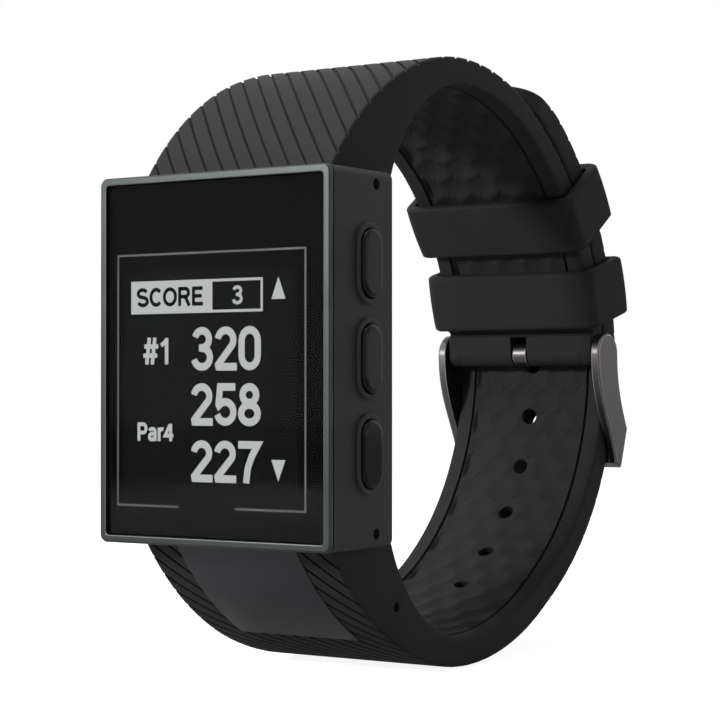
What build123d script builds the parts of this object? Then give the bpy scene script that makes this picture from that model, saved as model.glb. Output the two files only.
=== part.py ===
from build123d import *
from math import asin, atan2, cos, degrees, radians, sin, sqrt
import os

# A wrist-worn golf rangefinder: a rectangular case with a display, three side
# buttons, and a rubber strap buckled into a closed loop behind the case.
# Frame (mm): origin at the centre of the case's back face, +X towards the
# buttons, +Z towards the top of the display, and the display faces -Y.

# ---- Case -------------------------------------------------------------------
CASE_W = 37.2            # width, X
CASE_H = 48.0            # height, Z
CASE_T = 14.2            # depth from the back face to the bezel's front, Y
CASE_CORNER = 1.1        # radius of the four corners seen from the front
BACK_EDGE = 0.5          # rounding around the back face
CHEEK = 3.15             # side wall that stands beside each strap root
RECESS_WALL = 1.0        # wall between a strap recess and the display space
COVER_T = 1.5            # back cover thickness
COVER_EDGE = 0.85        # case wall left outside the back cover
COVER_GAP = 0.1
LEDGE = 1.15             # seat of the back cover and its gasket
GASKET = 0.5             # side of the gasket's square section
GASKET_GAP = 0.03
BOSS_R = 1.7             # posts that take the back screws
BOSS_IN = 1.5            # post centre, in from the cavity wall
BOSS_GAP = 0.35          # post's end to the display frame
SCREW_R = 0.7            # back screw shank
SCREW_GAP = 0.05
SCREW_HEAD_R = 1.3
SCREW_HEAD_T = 0.7
SCREW_LONG = 5.0
SCREW_END_GAP = 0.5      # hole left beyond the screw's end

# ---- Bezel and display window -----------------------------------------------
BEZEL_LIP = 0.6          # visible thickness of the bezel's rim
SHADOW_GAP = 0.35        # dark line between the bezel and the case
BEZEL_BAND = 0.95        # width of the bezel's front face
BEZEL_NECK = 0.35        # wall of the bezel around the lens
BEZEL_DEEP = 2.3         # from the bezel's front to its back
BEZEL_LEDGE = 1.7        # ledge behind the lens
FIT_GAP = 0.07           # clearance around the bezel and the lens
LENS_SINK = 0.45         # lens front below the bezel's front
LENS_T = 1.0
MASK_T = 0.08
TAPE_T = 0.2
TAPE_W = 1.2
WINDOW_W = 27.5          # clear window in the printed mask
WINDOW_H = 28.3
WINDOW_Z = -2.6          # centre of the window

# ---- Display stack and electronics ------------------------------------------
PANEL_BORDER = 0.85      # panel edge outside the clear window
PANEL_T = 1.2
PANEL_GAP = 0.3          # from the mask to the panel
BACKLIGHT_T = 0.4
STACK_GAP = 0.05
FRAME_GAP = 0.3          # display frame to the case wall
FRAME_FLOOR = 0.7
FLEX_W = 10.0
FLEX_T = 0.15
FLEX_IN = 0.6            # display flex in from the window's lower edge
FLEX_FOOT = 4.0          # length that lies on the board
FLEX_CLEAR = 0.5         # slot around the flex
FRAME_SINK = 0.3         # frame's rim behind the panel's face
BACKLIGHT_SHORT = 1.5    # backlight's lower edge above the window's
BOARD_T = 0.8
BOARD_POST = 1.6         # space between the display frame and the board
POST_R = 1.1
POST_UP = 0.6            # lower posts above the screw posts
BOARD_EDGE = 0.7         # board to the left case wall
BOARD_SCREW_R = 0.45
BOARD_SCREW_HEAD_R = 0.9
BOARD_SCREW_HEAD_T = 0.4
ANTENNA_W = 20.0
ANTENNA_H = 3.1
ANTENNA_T = 2.1
ANTENNA_EDGE = 0.3       # board edge above the antenna
ANTENNA_CLEAR = 1.2      # frame left clear below the antenna
CAN_W = 16.0
CAN_H = 9.5
CAN_T = 1.6
CAN_WALL = 0.3
CAN_CLEAR = 0.4          # can and pads around the board screws' heads
CELL_W = 24.0
CELL_H = 17.0
CELL_LIFT = 1.3          # cell above the bottom case wall
CELL_EDGE = 0.5
PAD_T = 0.6              # foam in front of the cell
PAD_IN = 1.5             # pad edge in from the cell's
PAD_CLEAR = 0.3
BACK_PAD_T = 1.15        # foam behind the cell
BACK_PAD_IN = 2.0        # its edge in from the front pad's
LEAD_W = 5.0             # battery's flat lead
LEAD_OUT = 0.9
SIDE_BOARD_T = 0.6
SIDE_BOARD_GAP = 0.1
SIDE_BOARD_EDGE = 0.4    # board behind the switches
SWITCH_L = 3.4
SWITCH_W = 3.0
SWITCH_T = 1.1
SWITCH_NUB = 0.3
CONTACT_COUNT = 4
CONTACT_R = 0.9
CONTACT_PITCH = 3.0
CONTACT_Z = 9.0

# ---- Buttons ----------------------------------------------------------------
BUTTON_PITCH = 12.0
BUTTON_BACK = 8.2        # button centre behind the bezel's front
BUTTON_L = 8.8           # pill length, Z
BUTTON_W = 4.2           # pill width, Y
BUTTON_GAP = 0.1
BUTTON_PROUD = 0.6       # pill above its rim
BUTTON_DOME = 0.6        # rounding of the pill's edge
BUTTON_TRAVEL = 0.5
BUTTON_FLOOR = 1.0       # case wall left under the pill
RIM_H = 0.55             # raised rim around each button
RIM_W = 0.7              # wall of that rim
STEM_R = 0.9
STEM_GAP = 0.05
STEM_REACH = 0.65        # stem past the inside of the wall
SEAL_T = 0.55
SEAL_R = 1.45
CLIP_T = 0.3
CLIP_R = 1.3
CLIP_NECK = 0.6          # stem radius where the clip sits

# ---- Strap loop ---------------------------------------------------------------
LOOP_R = 42.2            # outer radius of the loop
STRAP_BACK = 5.0         # strap's outer face behind the bezel's front, at the case end
UPPER_T = 3.8            # thickness of the short upper strap
LOWER_T = 4.0            # thickness of the long lower strap
LAP_GAP = 0.3            # between the two straps where they overlap
ROOT_R = 22.0            # inside radius where the strap thickens towards the case
ROOT_DEPTH = 4.9         # how far the strap reaches into the case end
ROOT_HEEL = 0.5          # strap's root behind the case's back face
SEAT_GAP = 0.3           # rubber to hard parts
BUCKLE_W = 26.0          # strap width from the lap to the buckle
TAPER_FROM = 8.0         # Y where the strap starts to narrow
TAPER_TO = 50.0          # Y where it has its buckle width
SWING_UP = 7.4           # the wide arc's centre above the loop centre
TUCK_SHIFT = 5.5         # radius of the arc that turns into the overlap, less than the overlap's
TIP_ANGLE = 68.5         # end of the tail, about the loop centre
TIP_TAPER = 16.0         # angle over which the tail thins
TIP_THIN = 1.6           # thickness at the very end
TIP_BOW_AT = 0.45        # where the thinning tail's curve is fullest, as a share of its taper
TIP_BOW = 0.38           # thickness lost there, as a share of the whole loss
TIP_CORNER = 8.0         # rounding of the tail's two corners
HOLE_R = 1.2             # adjustment holes
HOLE_PITCH = 8.25
HOLE_COUNT = 5
HOLE_FIRST = -13.9       # first free hole, about the tuck arc's centre

# ---- Case spring bars ---------------------------------------------------------
BAR_IN = 1.85            # bar centre, in from the case end
BAR_Y = 3.95             # bar centre, forward of the case back
BAR_R = 0.9
BAR_GAP = 0.05
TIP_R = 0.62
TIP_GAP = 0.06
TIP_ENGAGE = 1.75        # tip length inside the cheek
TIP_LENGTH = 5.8
TIP_TRAVEL = 1.8
SIDE_HOLE_R = 0.75

# ---- Buckle -------------------------------------------------------------------
BAR_ANGLE = 2.3          # buckle bar about the loop centre
ARM_GAP = 0.3
ARM_T = 1.35
ARM_RING_R = 3.15        # rounded top of an arm
ARM_RING_OUT = 0.55      # its centre, outward of the bar
CROSS_T = 1.8
CROSS_GAP = 0.35
CROSS_TOP = -14.5        # crossbar's edges, about the tuck arc's centre
CROSS_END = -23.0
ARM_BLIND = 0.9          # depth of the blind hole for the bar's tip
ARM_BACK_DIR = (0.45, -0.9, 0)       # direction in which an arm's back meets the crossbar
ARM_THROAT_DIR = (-0.25, 0.97, 0)    # direction in which its inside edge leaves it
BUCKLE_TIP_IN = 0.8
BUCKLE_TIP_LENGTH = 4.1
TONGUE_W = 2.3
TONGUE_T = 1.5
TONGUE_EYE_R = 1.85
EYE_GAP = 0.07
TONGUE_GAP = 0.3         # beside the tongue, in the strap's notch and slot
NOTCH_CLEAR = 0.9        # notch beyond the tongue's eye
KNEE_LIFT = 0.5          # tongue's bend above the lower strap
KNEE_BEYOND = 1.5        # its angle past the slot's centre
SLOT_L = 4.6             # slot in the lower strap for the tongue
SLOT_ANGLE = -0.8        # slot centre, about the tuck arc's centre
TONGUE_LIFT = 0.15       # tongue above the crossbar
CROSS_REACH = 0.6        # how far the tongue reaches down the crossbar

# ---- Keepers ------------------------------------------------------------------
KEEPER_L = 9.0
KEEPER_IN_T = 1.5
KEEPER_OUT_T = 1.9
KEEPER_SIDE_T = 1.5
KEEPER_GAP = 0.35
KEEPER_CORNER = 2.0
KEEPER_EDGE = 0.5
FREE_KEEPER_ANGLE = 34.3
FIXED_KEEPER_ANGLE = 15.3

# ---- Plate on the lower strap -------------------------------------------------
PLATE_W = 19.4
PLATE_T = 0.9
PLATE_PROUD = 0.1
PLATE_START = 0.3        # angle between the case's end and the plate
PLATE_END = -118.8       # lower edge of the plate, about the loop centre
PLATE_GAP = 0.05
LUG_W = 6.0
LUG_T = 2.4
PIN_R = 0.6
PIN_DEEP = 4.3           # pin centre below the strap's outer face
PIN_ANGLE = -121.2
PIN_SINK = 1.0           # pin end inside the strap's side face

# ---- Places that follow from the sizes above ----------------------------------
CASE_FRONT = -(CASE_T - BEZEL_LIP - SHADOW_GAP)
BEZEL_FRONT = -CASE_T
STRAP_SET = CASE_T - STRAP_BACK
BUTTON_Y = BUTTON_BACK - CASE_T
LENS_FRONT = BEZEL_FRONT + LENS_SINK
LENS_BACK = LENS_FRONT + LENS_T
MASK_BACK = LENS_BACK + MASK_T
TAPE_BACK = MASK_BACK + TAPE_T
BEZEL_BACK = BEZEL_FRONT + BEZEL_DEEP
LENS_HALF_W = CASE_W / 2 - BEZEL_BAND - FIT_GAP
LENS_HALF_H = CASE_H / 2 - BEZEL_BAND - FIT_GAP
NECK_HALF_W = LENS_HALF_W + FIT_GAP + BEZEL_NECK
NECK_HALF_H = LENS_HALF_H + FIT_GAP + BEZEL_NECK
ROOT_W = CASE_W - 2 * (CHEEK + SEAT_GAP)
ROOT_END_Z = CASE_H / 2 - ROOT_DEPTH
RECESS_Z = ROOT_END_Z - SEAT_GAP
RECESS_Y = -(STRAP_SET + SEAT_GAP)
SHELF_Y = RECESS_Y - RECESS_WALL
COVER_HALF_W = CASE_W / 2 - COVER_EDGE
COVER_HALF_H = RECESS_Z - COVER_EDGE * 0.7
CAVITY_HALF_W = COVER_HALF_W - LEDGE
CAVITY_HALF_H = COVER_HALF_H - LEDGE
FRONT_HALF_H = NECK_HALF_H - BEZEL_LEDGE
BOSS_X = CAVITY_HALF_W - BOSS_IN
BOSS_Z = CAVITY_HALF_H - BOSS_IN
PANEL_FRONT = MASK_BACK + PANEL_GAP
PANEL_BACK = PANEL_FRONT + PANEL_T
BACKLIGHT_BACK = PANEL_BACK + STACK_GAP + BACKLIGHT_T
FRAME_BACK = max(BACKLIGHT_BACK + STACK_GAP, SHELF_Y - STACK_GAP) + FRAME_FLOOR
BOARD_FRONT = FRAME_BACK + BOARD_POST
BOARD_BACK = BOARD_FRONT + BOARD_T
CELL_FRONT = BOARD_BACK + PAD_T
CELL_BACK = -COVER_T - BACK_PAD_T
RIM_TOP = CASE_W / 2 + RIM_H
PILL_FLOOR = CAVITY_HALF_W + BUTTON_FLOOR
STEM_END = CAVITY_HALF_W - STEM_REACH
SWITCH_TOP = STEM_END - BUTTON_TRAVEL - STACK_GAP
SIDE_BOARD_X = SWITCH_TOP - SWITCH_NUB - SWITCH_T - SIDE_BOARD_T
BUTTON_PLACES = {"top": BUTTON_PITCH, "middle": 0.0, "bottom": -BUTTON_PITCH}
CASE_BAR_Z = CASE_H / 2 - BAR_IN
UPPER_IN_R = LOOP_R - UPPER_T
LOOP_Y = sqrt(LOOP_R**2 - (CASE_H / 2) ** 2) - STRAP_SET
TAIL_IN_R = LOOP_R + LAP_GAP
TAIL_OUT_R = TAIL_IN_R + LOWER_T
SWING_R = LOOP_R + SWING_UP
TUCK_R = TAIL_OUT_R - TUCK_SHIFT
SWING_OFF = SWING_R - TUCK_R
TUCK_FROM = degrees(asin((TUCK_SHIFT**2 - SWING_OFF**2 - SWING_UP**2) / (2 * SWING_UP * SWING_OFF)))
LOOP_C = (LOOP_Y, 0.0)
SWING_C = (LOOP_Y, SWING_UP)


def polar(centre, radius, angle):
    """A point of the side view (Y, Z) at an angle from +Y."""
    return (centre[0] + radius * cos(radians(angle)), centre[1] + radius * sin(radians(angle)))


TUCK_C = polar(SWING_C, SWING_OFF, TUCK_FROM)
TUCK_TO = degrees(atan2(TUCK_C[1], TUCK_C[0] - LOOP_Y))
BAR_C = polar(LOOP_C, LOOP_R - UPPER_T / 2, BAR_ANGLE)
PIN_C = polar(LOOP_C, LOOP_R - PIN_DEEP, PIN_ANGLE)


# ---- Shared shapes --------------------------------------------------------------
def slab(outline, back, front):
    """A front-view outline made solid between two depths."""
    plane = Plane(origin=(0, back, 0), x_dir=(1, 0, 0), z_dir=(0, -1, 0))
    return extrude(plane * outline, amount=back - front)


def panel(half_w, half_h, back, front, corner=0.0, centre_z=0.0):
    """A rectangular slab, centred on X, with optional rounded corners."""
    outline = RectangleRounded(2 * half_w, 2 * half_h, corner) if corner else Rectangle(2 * half_w, 2 * half_h)
    return slab(Pos(0, centre_z) * outline, back, front)


def block(x0, x1, y0, y1, z0, z1):
    return Pos((x0 + x1) / 2, (y0 + y1) / 2, (z0 + z1) / 2) * Box(x1 - x0, y1 - y0, z1 - z0)


def rod_x(x0, x1, point, radius):
    """A round bar along X through a side-view point."""
    plane = Plane(origin=(x0, point[0], point[1]), x_dir=(0, 1, 0), z_dir=(1, 0, 0))
    return extrude(plane * Circle(radius), amount=x1 - x0)


def rod_y(x, z, back, front, radius):
    return slab(Pos(x, z) * Circle(radius), back, front)


def pill_x(x0, x1, z, width, length):
    """A stadium, long in Z, between two X planes at the buttons' depth."""
    plane = Plane(origin=(x0, BUTTON_Y, z), x_dir=(0, 0, 1), z_dir=(1, 0, 0))
    return extrude(plane * SlotOverall(length, width), amount=x1 - x0)


def across(face, half):
    """A side-view face made solid, the same distance either side of X = 0."""
    return extrude(Plane.YZ * face, amount=half, both=True)


def arc(centre, radius, start, end):
    return CenterArc((centre[0], centre[1], 0), radius, start, end - start)


def line(*points):
    return Polyline(*[(p[0], p[1], 0) for p in points])


def outline(*edges):
    return make_face([edge for part in edges for edge in part.edges()])


def corners():
    return [(sx * BOSS_X, sz * BOSS_Z) for sx in (-1, 1) for sz in (-1, 1)]


def taper_plan(root_w, end_w):
    """Plan view of a strap: wide at the case, narrower towards the buckle."""
    far = LOOP_Y + 2 * LOOP_R
    near = -2 * CASE_T
    half = [(root_w / 2, near), (root_w / 2, TAPER_FROM), (end_w / 2, TAPER_TO), (end_w / 2, far)]
    points = half + [(-x, y) for x, y in reversed(half)]
    return Pos(0, 0, -3 * LOOP_R) * extrude(make_face(line(*points, points[0])), amount=6 * LOOP_R)


# ---- Case ---------------------------------------------------------------------
def mid_case():
    """The moulded body: a tub open to the front and the back, notched for the straps."""
    body = panel(CASE_W / 2, CASE_H / 2, 0, CASE_FRONT, CASE_CORNER)
    body = fillet(body.faces().sort_by(Axis.Y)[-1].edges(), BACK_EDGE)
    for z in BUTTON_PLACES.values():
        rim_w = BUTTON_W + 2 * (BUTTON_GAP + RIM_W)
        rim = pill_x(PILL_FLOOR, RIM_TOP, z, rim_w, rim_w + BUTTON_L - BUTTON_W)
        body += fillet(rim.faces().sort_by(Axis.X)[-1].edges(), RIM_W * 0.4)
    body -= panel(NECK_HALF_W + FIT_GAP, NECK_HALF_H + FIT_GAP, BEZEL_BACK + STACK_GAP, CASE_FRONT, CASE_CORNER / 2)
    body -= panel(CAVITY_HALF_W, FRONT_HALF_H, SHELF_Y, CASE_FRONT)
    body -= panel(CAVITY_HALF_W, CAVITY_HALF_H, 0, CASE_FRONT)
    body -= panel(COVER_HALF_W, COVER_HALF_H, 0, -COVER_T, CASE_CORNER / 2)
    body -= gasket_ring(GASKET_GAP)
    for side in (-1, 1):
        z0, z1 = sorted((side * RECESS_Z, side * CASE_H))
        body -= block(-ROOT_W / 2 - SEAT_GAP, ROOT_W / 2 + SEAT_GAP, RECESS_Y, CASE_T, z0, z1)
        body -= rod_x(-CASE_W, CASE_W, (-BAR_Y, side * CASE_BAR_Z), SIDE_HOLE_R)
    for x, z in corners():
        body += rod_y(x, z, -COVER_T, FRAME_BACK + BOSS_GAP, BOSS_R)
        body -= rod_y(x, z, 0, -COVER_T - SCREW_LONG - SCREW_END_GAP, SCREW_R + SCREW_GAP)
    for z in BUTTON_PLACES.values():
        body -= pill_x(PILL_FLOOR, CASE_W, z, BUTTON_W + 2 * BUTTON_GAP, BUTTON_L + 2 * BUTTON_GAP)
        body -= rod_x(0, CASE_W, (BUTTON_Y, z), STEM_R + STEM_GAP)
        body -= rod_x(PILL_FLOOR - SEAL_T - STEM_GAP, CASE_W, (BUTTON_Y, z), SEAL_R + STEM_GAP)
    return body


def gasket_ring(grow=0.0):
    """The square-section ring in the middle of the cover's ledge."""
    half = (GASKET / 2 + grow, GASKET / 2 + grow)
    mid_w = COVER_HALF_W - LEDGE / 2
    mid_h = COVER_HALF_H - LEDGE / 2
    depth = -COVER_T - GASKET - grow
    outer = panel(mid_w + half[0], mid_h + half[1], -COVER_T, depth)
    return outer - panel(mid_w - half[0], mid_h - half[1], -COVER_T, depth)


def back_cover():
    cover = panel(COVER_HALF_W - COVER_GAP, COVER_HALF_H - COVER_GAP, 0, -COVER_T, CASE_CORNER / 2)
    cover = chamfer(cover.faces().sort_by(Axis.Y)[-1].edges(), COVER_T * 0.15)
    for x, z in corners():
        cover -= rod_y(x, z, 0, -COVER_T, SCREW_R + SCREW_GAP)
        cover -= rod_y(x, z, 0, -SCREW_HEAD_T - SCREW_GAP, SCREW_HEAD_R + SCREW_GAP)
    for x in contact_places():
        cover -= rod_y(x, CONTACT_Z, 0, -COVER_T, CONTACT_R)
    return cover


def contact_places():
    return [CONTACT_PITCH * (i - (CONTACT_COUNT - 1) / 2) for i in range(CONTACT_COUNT)]


def charging_contacts():
    return [rod_y(x, CONTACT_Z, -STACK_GAP, -COVER_T - STACK_GAP, CONTACT_R) for x in contact_places()]


def cross_head(x, z, shank_r, head_r, head_t, top, length):
    """A screw along Y whose head faces the back, with a cross recess."""
    screw = rod_y(x, z, top, top - head_t, head_r) + rod_y(x, z, top - head_t, top - length, shank_r)
    slot = head_r * 0.25
    reach = head_r * 0.6
    deep = head_t * 0.5
    screw -= block(x - reach, x + reach, top - deep, top, z - slot / 2, z + slot / 2)
    screw -= block(x - slot / 2, x + slot / 2, top - deep, top, z - reach, z + reach)
    return screw


def back_screws():
    top = -STACK_GAP
    return [cross_head(x, z, SCREW_R, SCREW_HEAD_R, SCREW_HEAD_T, top, SCREW_LONG + COVER_T) for x, z in corners()]


# ---- Bezel, lens and display ----------------------------------------------------
def bezel_frame():
    rim = panel(CASE_W / 2, CASE_H / 2, BEZEL_FRONT + BEZEL_LIP, BEZEL_FRONT, CASE_CORNER)
    rim = fillet(rim.faces().sort_by(Axis.Y)[0].edges(), BEZEL_LIP * 0.4)
    neck = panel(NECK_HALF_W, NECK_HALF_H, BEZEL_BACK, BEZEL_FRONT + BEZEL_LIP, CASE_CORNER / 2)
    pocket = panel(LENS_HALF_W + FIT_GAP, LENS_HALF_H + FIT_GAP, TAPE_BACK, BEZEL_FRONT, CASE_CORNER / 2)
    inside = panel(NECK_HALF_W - BEZEL_LEDGE, NECK_HALF_H - BEZEL_LEDGE, BEZEL_BACK, BEZEL_FRONT)
    return rim + neck - pocket - inside


def front_lens():
    lens = panel(LENS_HALF_W, LENS_HALF_H, LENS_BACK, LENS_FRONT, CASE_CORNER / 2)
    return chamfer(lens.faces().sort_by(Axis.Y)[0].edges(), LENS_T * 0.15)


def lens_mask():
    sheet = panel(LENS_HALF_W, LENS_HALF_H, MASK_BACK, LENS_BACK, CASE_CORNER / 2)
    return sheet - panel(WINDOW_W / 2, WINDOW_H / 2, MASK_BACK, LENS_BACK, centre_z=WINDOW_Z)


def lens_tape():
    ring = panel(LENS_HALF_W, LENS_HALF_H, TAPE_BACK, MASK_BACK, CASE_CORNER / 2)
    return ring - panel(LENS_HALF_W - TAPE_W, LENS_HALF_H - TAPE_W, TAPE_BACK, MASK_BACK)


def lcd_panel():
    half_w = WINDOW_W / 2 + PANEL_BORDER
    half_h = WINDOW_H / 2 + PANEL_BORDER
    return panel(half_w, half_h, PANEL_BACK, PANEL_FRONT, centre_z=WINDOW_Z)


def backlight_plate():
    half_w = WINDOW_W / 2
    half_h = WINDOW_H / 2 - BACKLIGHT_SHORT
    return panel(half_w, half_h, BACKLIGHT_BACK, PANEL_BACK + STACK_GAP, centre_z=WINDOW_Z + BACKLIGHT_SHORT)


def frame_posts():
    low = -CAVITY_HALF_H + BOSS_IN + POST_UP
    high = CAVITY_HALF_H - ANTENNA_H - BOARD_SCREW_HEAD_R - POST_R - ANTENNA_CLEAR
    return [(sx * (CELL_W / 2 - BOSS_IN), z) for sx in (-1, 1) for z in (low, high)]


def display_frame():
    """A tray around the panel, with posts behind it that carry the board."""
    back = FRAME_BACK - FRAME_FLOOR
    ring = panel(CAVITY_HALF_W - FRAME_GAP, FRONT_HALF_H - FRAME_GAP, back, PANEL_FRONT + FRAME_SINK)
    half_w = WINDOW_W / 2 + PANEL_BORDER + STACK_GAP
    half_h = WINDOW_H / 2 + PANEL_BORDER + STACK_GAP
    ring -= panel(half_w, half_h, back, PANEL_FRONT, centre_z=WINDOW_Z)
    floor_top = CAVITY_HALF_H - ANTENNA_H - ANTENNA_CLEAR
    floor = block(-CAVITY_HALF_W + FRAME_GAP, CAVITY_HALF_W - FRAME_GAP, back, FRAME_BACK,
                  -CAVITY_HALF_H + FRAME_GAP, floor_top)
    body = ring + floor
    for x, z in frame_posts():
        body += rod_y(x, z, BOARD_FRONT, FRAME_BACK, POST_R)
        body -= rod_y(x, z, BOARD_FRONT, FRAME_BACK - FRAME_FLOOR / 2, BOARD_SCREW_R)
    slot = FLEX_W / 2 + FLEX_CLEAR
    return body - block(-slot, slot, back, FRAME_BACK, flex_z() - FLEX_CLEAR, flex_z() + FLEX_T + FLEX_CLEAR)


def flex_z():
    """Height at which the display's flex passes back to the board."""
    return WINDOW_Z - WINDOW_H / 2 + FLEX_IN


def display_flex():
    z = flex_z()
    drop = block(-FLEX_W / 2, FLEX_W / 2, PANEL_BACK, BOARD_FRONT, z, z + FLEX_T)
    foot = block(-FLEX_W / 2, FLEX_W / 2, BOARD_FRONT - FLEX_T, BOARD_FRONT, z, z + FLEX_FOOT)
    return drop + foot


def main_board():
    board = block(-CAVITY_HALF_W + BOARD_EDGE, SIDE_BOARD_X, BOARD_FRONT, BOARD_BACK,
                  -CAVITY_HALF_H + FRAME_GAP, CAVITY_HALF_H - FRAME_GAP)
    for x, z in corners():
        board -= rod_y(x, z, BOARD_BACK, BOARD_FRONT, BOSS_R + FRAME_GAP)
    for x, z in frame_posts():
        board -= rod_y(x, z, BOARD_BACK, BOARD_FRONT, BOARD_SCREW_R + SCREW_GAP)
    return board


def board_screws():
    top = BOARD_BACK + BOARD_SCREW_HEAD_T
    length = BOARD_T + BOARD_SCREW_HEAD_T + BOARD_POST
    return [cross_head(x, z, BOARD_SCREW_R - SCREW_GAP, BOARD_SCREW_HEAD_R, BOARD_SCREW_HEAD_T, top, length)
            for x, z in frame_posts()]


def gps_antenna():
    top = CAVITY_HALF_H - FRAME_GAP - ANTENNA_EDGE
    return block(-ANTENNA_W / 2, ANTENNA_W / 2, BOARD_FRONT - ANTENNA_T, BOARD_FRONT, top - ANTENNA_H, top)


def shield_can():
    x0 = -CELL_W / 2
    z1 = CAVITY_HALF_H - BOSS_IN - BOSS_R - FRAME_GAP
    z0 = z1 - CAN_H
    can = block(x0, x0 + CAN_W, BOARD_BACK, BOARD_BACK + CAN_T, z0, z1)
    for x, z in frame_posts():
        can -= rod_y(x, z, BOARD_BACK + CAN_T, BOARD_BACK, BOARD_SCREW_HEAD_R + CAN_CLEAR)
    inner = block(x0 + CAN_WALL, x0 + CAN_W - CAN_WALL, BOARD_BACK, BOARD_BACK + CAN_T - CAN_WALL,
                  z0 + CAN_WALL, z1 - CAN_WALL)
    for x, z in frame_posts():
        inner -= rod_y(x, z, BOARD_BACK + CAN_T, BOARD_BACK, BOARD_SCREW_HEAD_R + CAN_CLEAR + CAN_WALL)
    return can - inner


def cell_zone(shrink=0.0):
    z0 = -CAVITY_HALF_H + CELL_LIFT
    return (-CELL_W / 2 + shrink, CELL_W / 2 - shrink, z0 + shrink, z0 + CELL_H - shrink)


def battery_cell():
    x0, x1, z0, z1 = cell_zone()
    return fillet(block(x0, x1, CELL_FRONT, CELL_BACK, z0, z1).edges(), CELL_EDGE)


def battery_pads():
    """Adhesive foam in front of the cell, with the screw heads left clear, and foam behind it."""
    x0, x1, z0, z1 = cell_zone(PAD_IN)
    front = block(x0, x1, BOARD_BACK, CELL_FRONT, z0, z1)
    for x, z in frame_posts():
        front -= rod_y(x, z, CELL_FRONT, BOARD_BACK, BOARD_SCREW_HEAD_R + PAD_CLEAR)
    side = BACK_PAD_IN
    return front, block(x0 + side, x1 - side, CELL_BACK, -COVER_T, z0 + side, z1 - side)


def battery_flex():
    """A flat lead from the cell's top edge down to the board."""
    z1 = cell_zone()[3]
    y = (CELL_FRONT + CELL_BACK) / 2
    out = z1 + LEAD_OUT
    tab = block(-LEAD_W / 2, LEAD_W / 2, y, y + FLEX_T, z1, out)
    return tab + block(-LEAD_W / 2, LEAD_W / 2, BOARD_BACK, y + FLEX_T, out - FLEX_T, out)


def switch_board():
    half = BOSS_Z - BOSS_R - SIDE_BOARD_GAP
    back = BUTTON_Y + SWITCH_W / 2 + SIDE_BOARD_EDGE
    return block(SIDE_BOARD_X, SIDE_BOARD_X + SIDE_BOARD_T, BOARD_FRONT, back, -half, half)


def side_switches():
    """Three tact switches, each under its button's stem."""
    base = SIDE_BOARD_X + SIDE_BOARD_T
    group = []
    for z in BUTTON_PLACES.values():
        y0 = BUTTON_Y - SWITCH_W / 2
        body = block(base, base + SWITCH_T, y0, y0 + SWITCH_W, z - SWITCH_L / 2, z + SWITCH_L / 2)
        group.append(body + rod_x(base + SWITCH_T, SWITCH_TOP, (BUTTON_Y, z), STEM_R * 0.8))
    return group


# ---- Buttons --------------------------------------------------------------------
def button(z):
    """A domed pill on a stem that reaches through the wall towards its switch."""
    top = RIM_TOP + BUTTON_PROUD
    pill = pill_x(PILL_FLOOR + BUTTON_TRAVEL + STEM_GAP, top, z, BUTTON_W, BUTTON_L)
    pill = fillet(pill.faces().sort_by(Axis.X)[-1].edges(), BUTTON_DOME)
    stem = rod_x(STEM_END, PILL_FLOOR + BUTTON_TRAVEL + STEM_GAP, (BUTTON_Y, z), STEM_R)
    groove = ring_x(clip_x(), clip_x() + CLIP_T, z, STEM_R, CLIP_NECK)
    return pill + stem - groove


def ring_x(x0, x1, z, outer, inner):
    return rod_x(x0, x1, (BUTTON_Y, z), outer) - rod_x(x0, x1, (BUTTON_Y, z), inner)


def clip_x():
    return CAVITY_HALF_W - CLIP_T - STEM_GAP


def button_seal(z):
    return ring_x(PILL_FLOOR - SEAL_T, PILL_FLOOR, z, SEAL_R, STEM_R + STEM_GAP)


def button_clip(z):
    """A retaining ring in the stem's groove, open on one side."""
    ring = ring_x(clip_x(), clip_x() + CLIP_T, z, CLIP_R, CLIP_NECK)
    mouth = CLIP_NECK * 0.7
    return ring - block(clip_x(), clip_x() + CLIP_T, BUTTON_Y, BUTTON_Y + CLIP_R + STEM_GAP, z - mouth, z + mouth)


# ---- Straps -----------------------------------------------------------------------
def root_angle(radius, centre_z):
    """Angle at which an arc of the upper strap meets the case's end plane."""
    return 180 - degrees(asin((CASE_H / 2 - centre_z) / radius))


def root_corner(inner_start):
    """The strap's end inside the case: three corners, from the inner arc to the outer one."""
    return line(inner_start, (ROOT_HEEL, ROOT_END_Z), (-STRAP_SET, ROOT_END_Z), (-STRAP_SET, CASE_H / 2))


def flip(points_or_edges):
    return points_or_edges.mirror(Plane.XZ)


def upper_profile():
    """Side view of the short strap: root, constant thickness, rounded end around the bar."""
    root_c = (LOOP_Y, UPPER_IN_R - ROOT_R)
    start = root_angle(ROOT_R, root_c[1])
    outer = arc(LOOP_C, LOOP_R, root_angle(LOOP_R, 0), BAR_ANGLE)
    end = arc(BAR_C, UPPER_T / 2, BAR_ANGLE, BAR_ANGLE - 180)
    inner = arc(LOOP_C, UPPER_IN_R, BAR_ANGLE, 90)
    root = arc(root_c, ROOT_R, 90, start)
    return outline(outer, end, inner, root, root_corner(polar(root_c, ROOT_R, start)))


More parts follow.
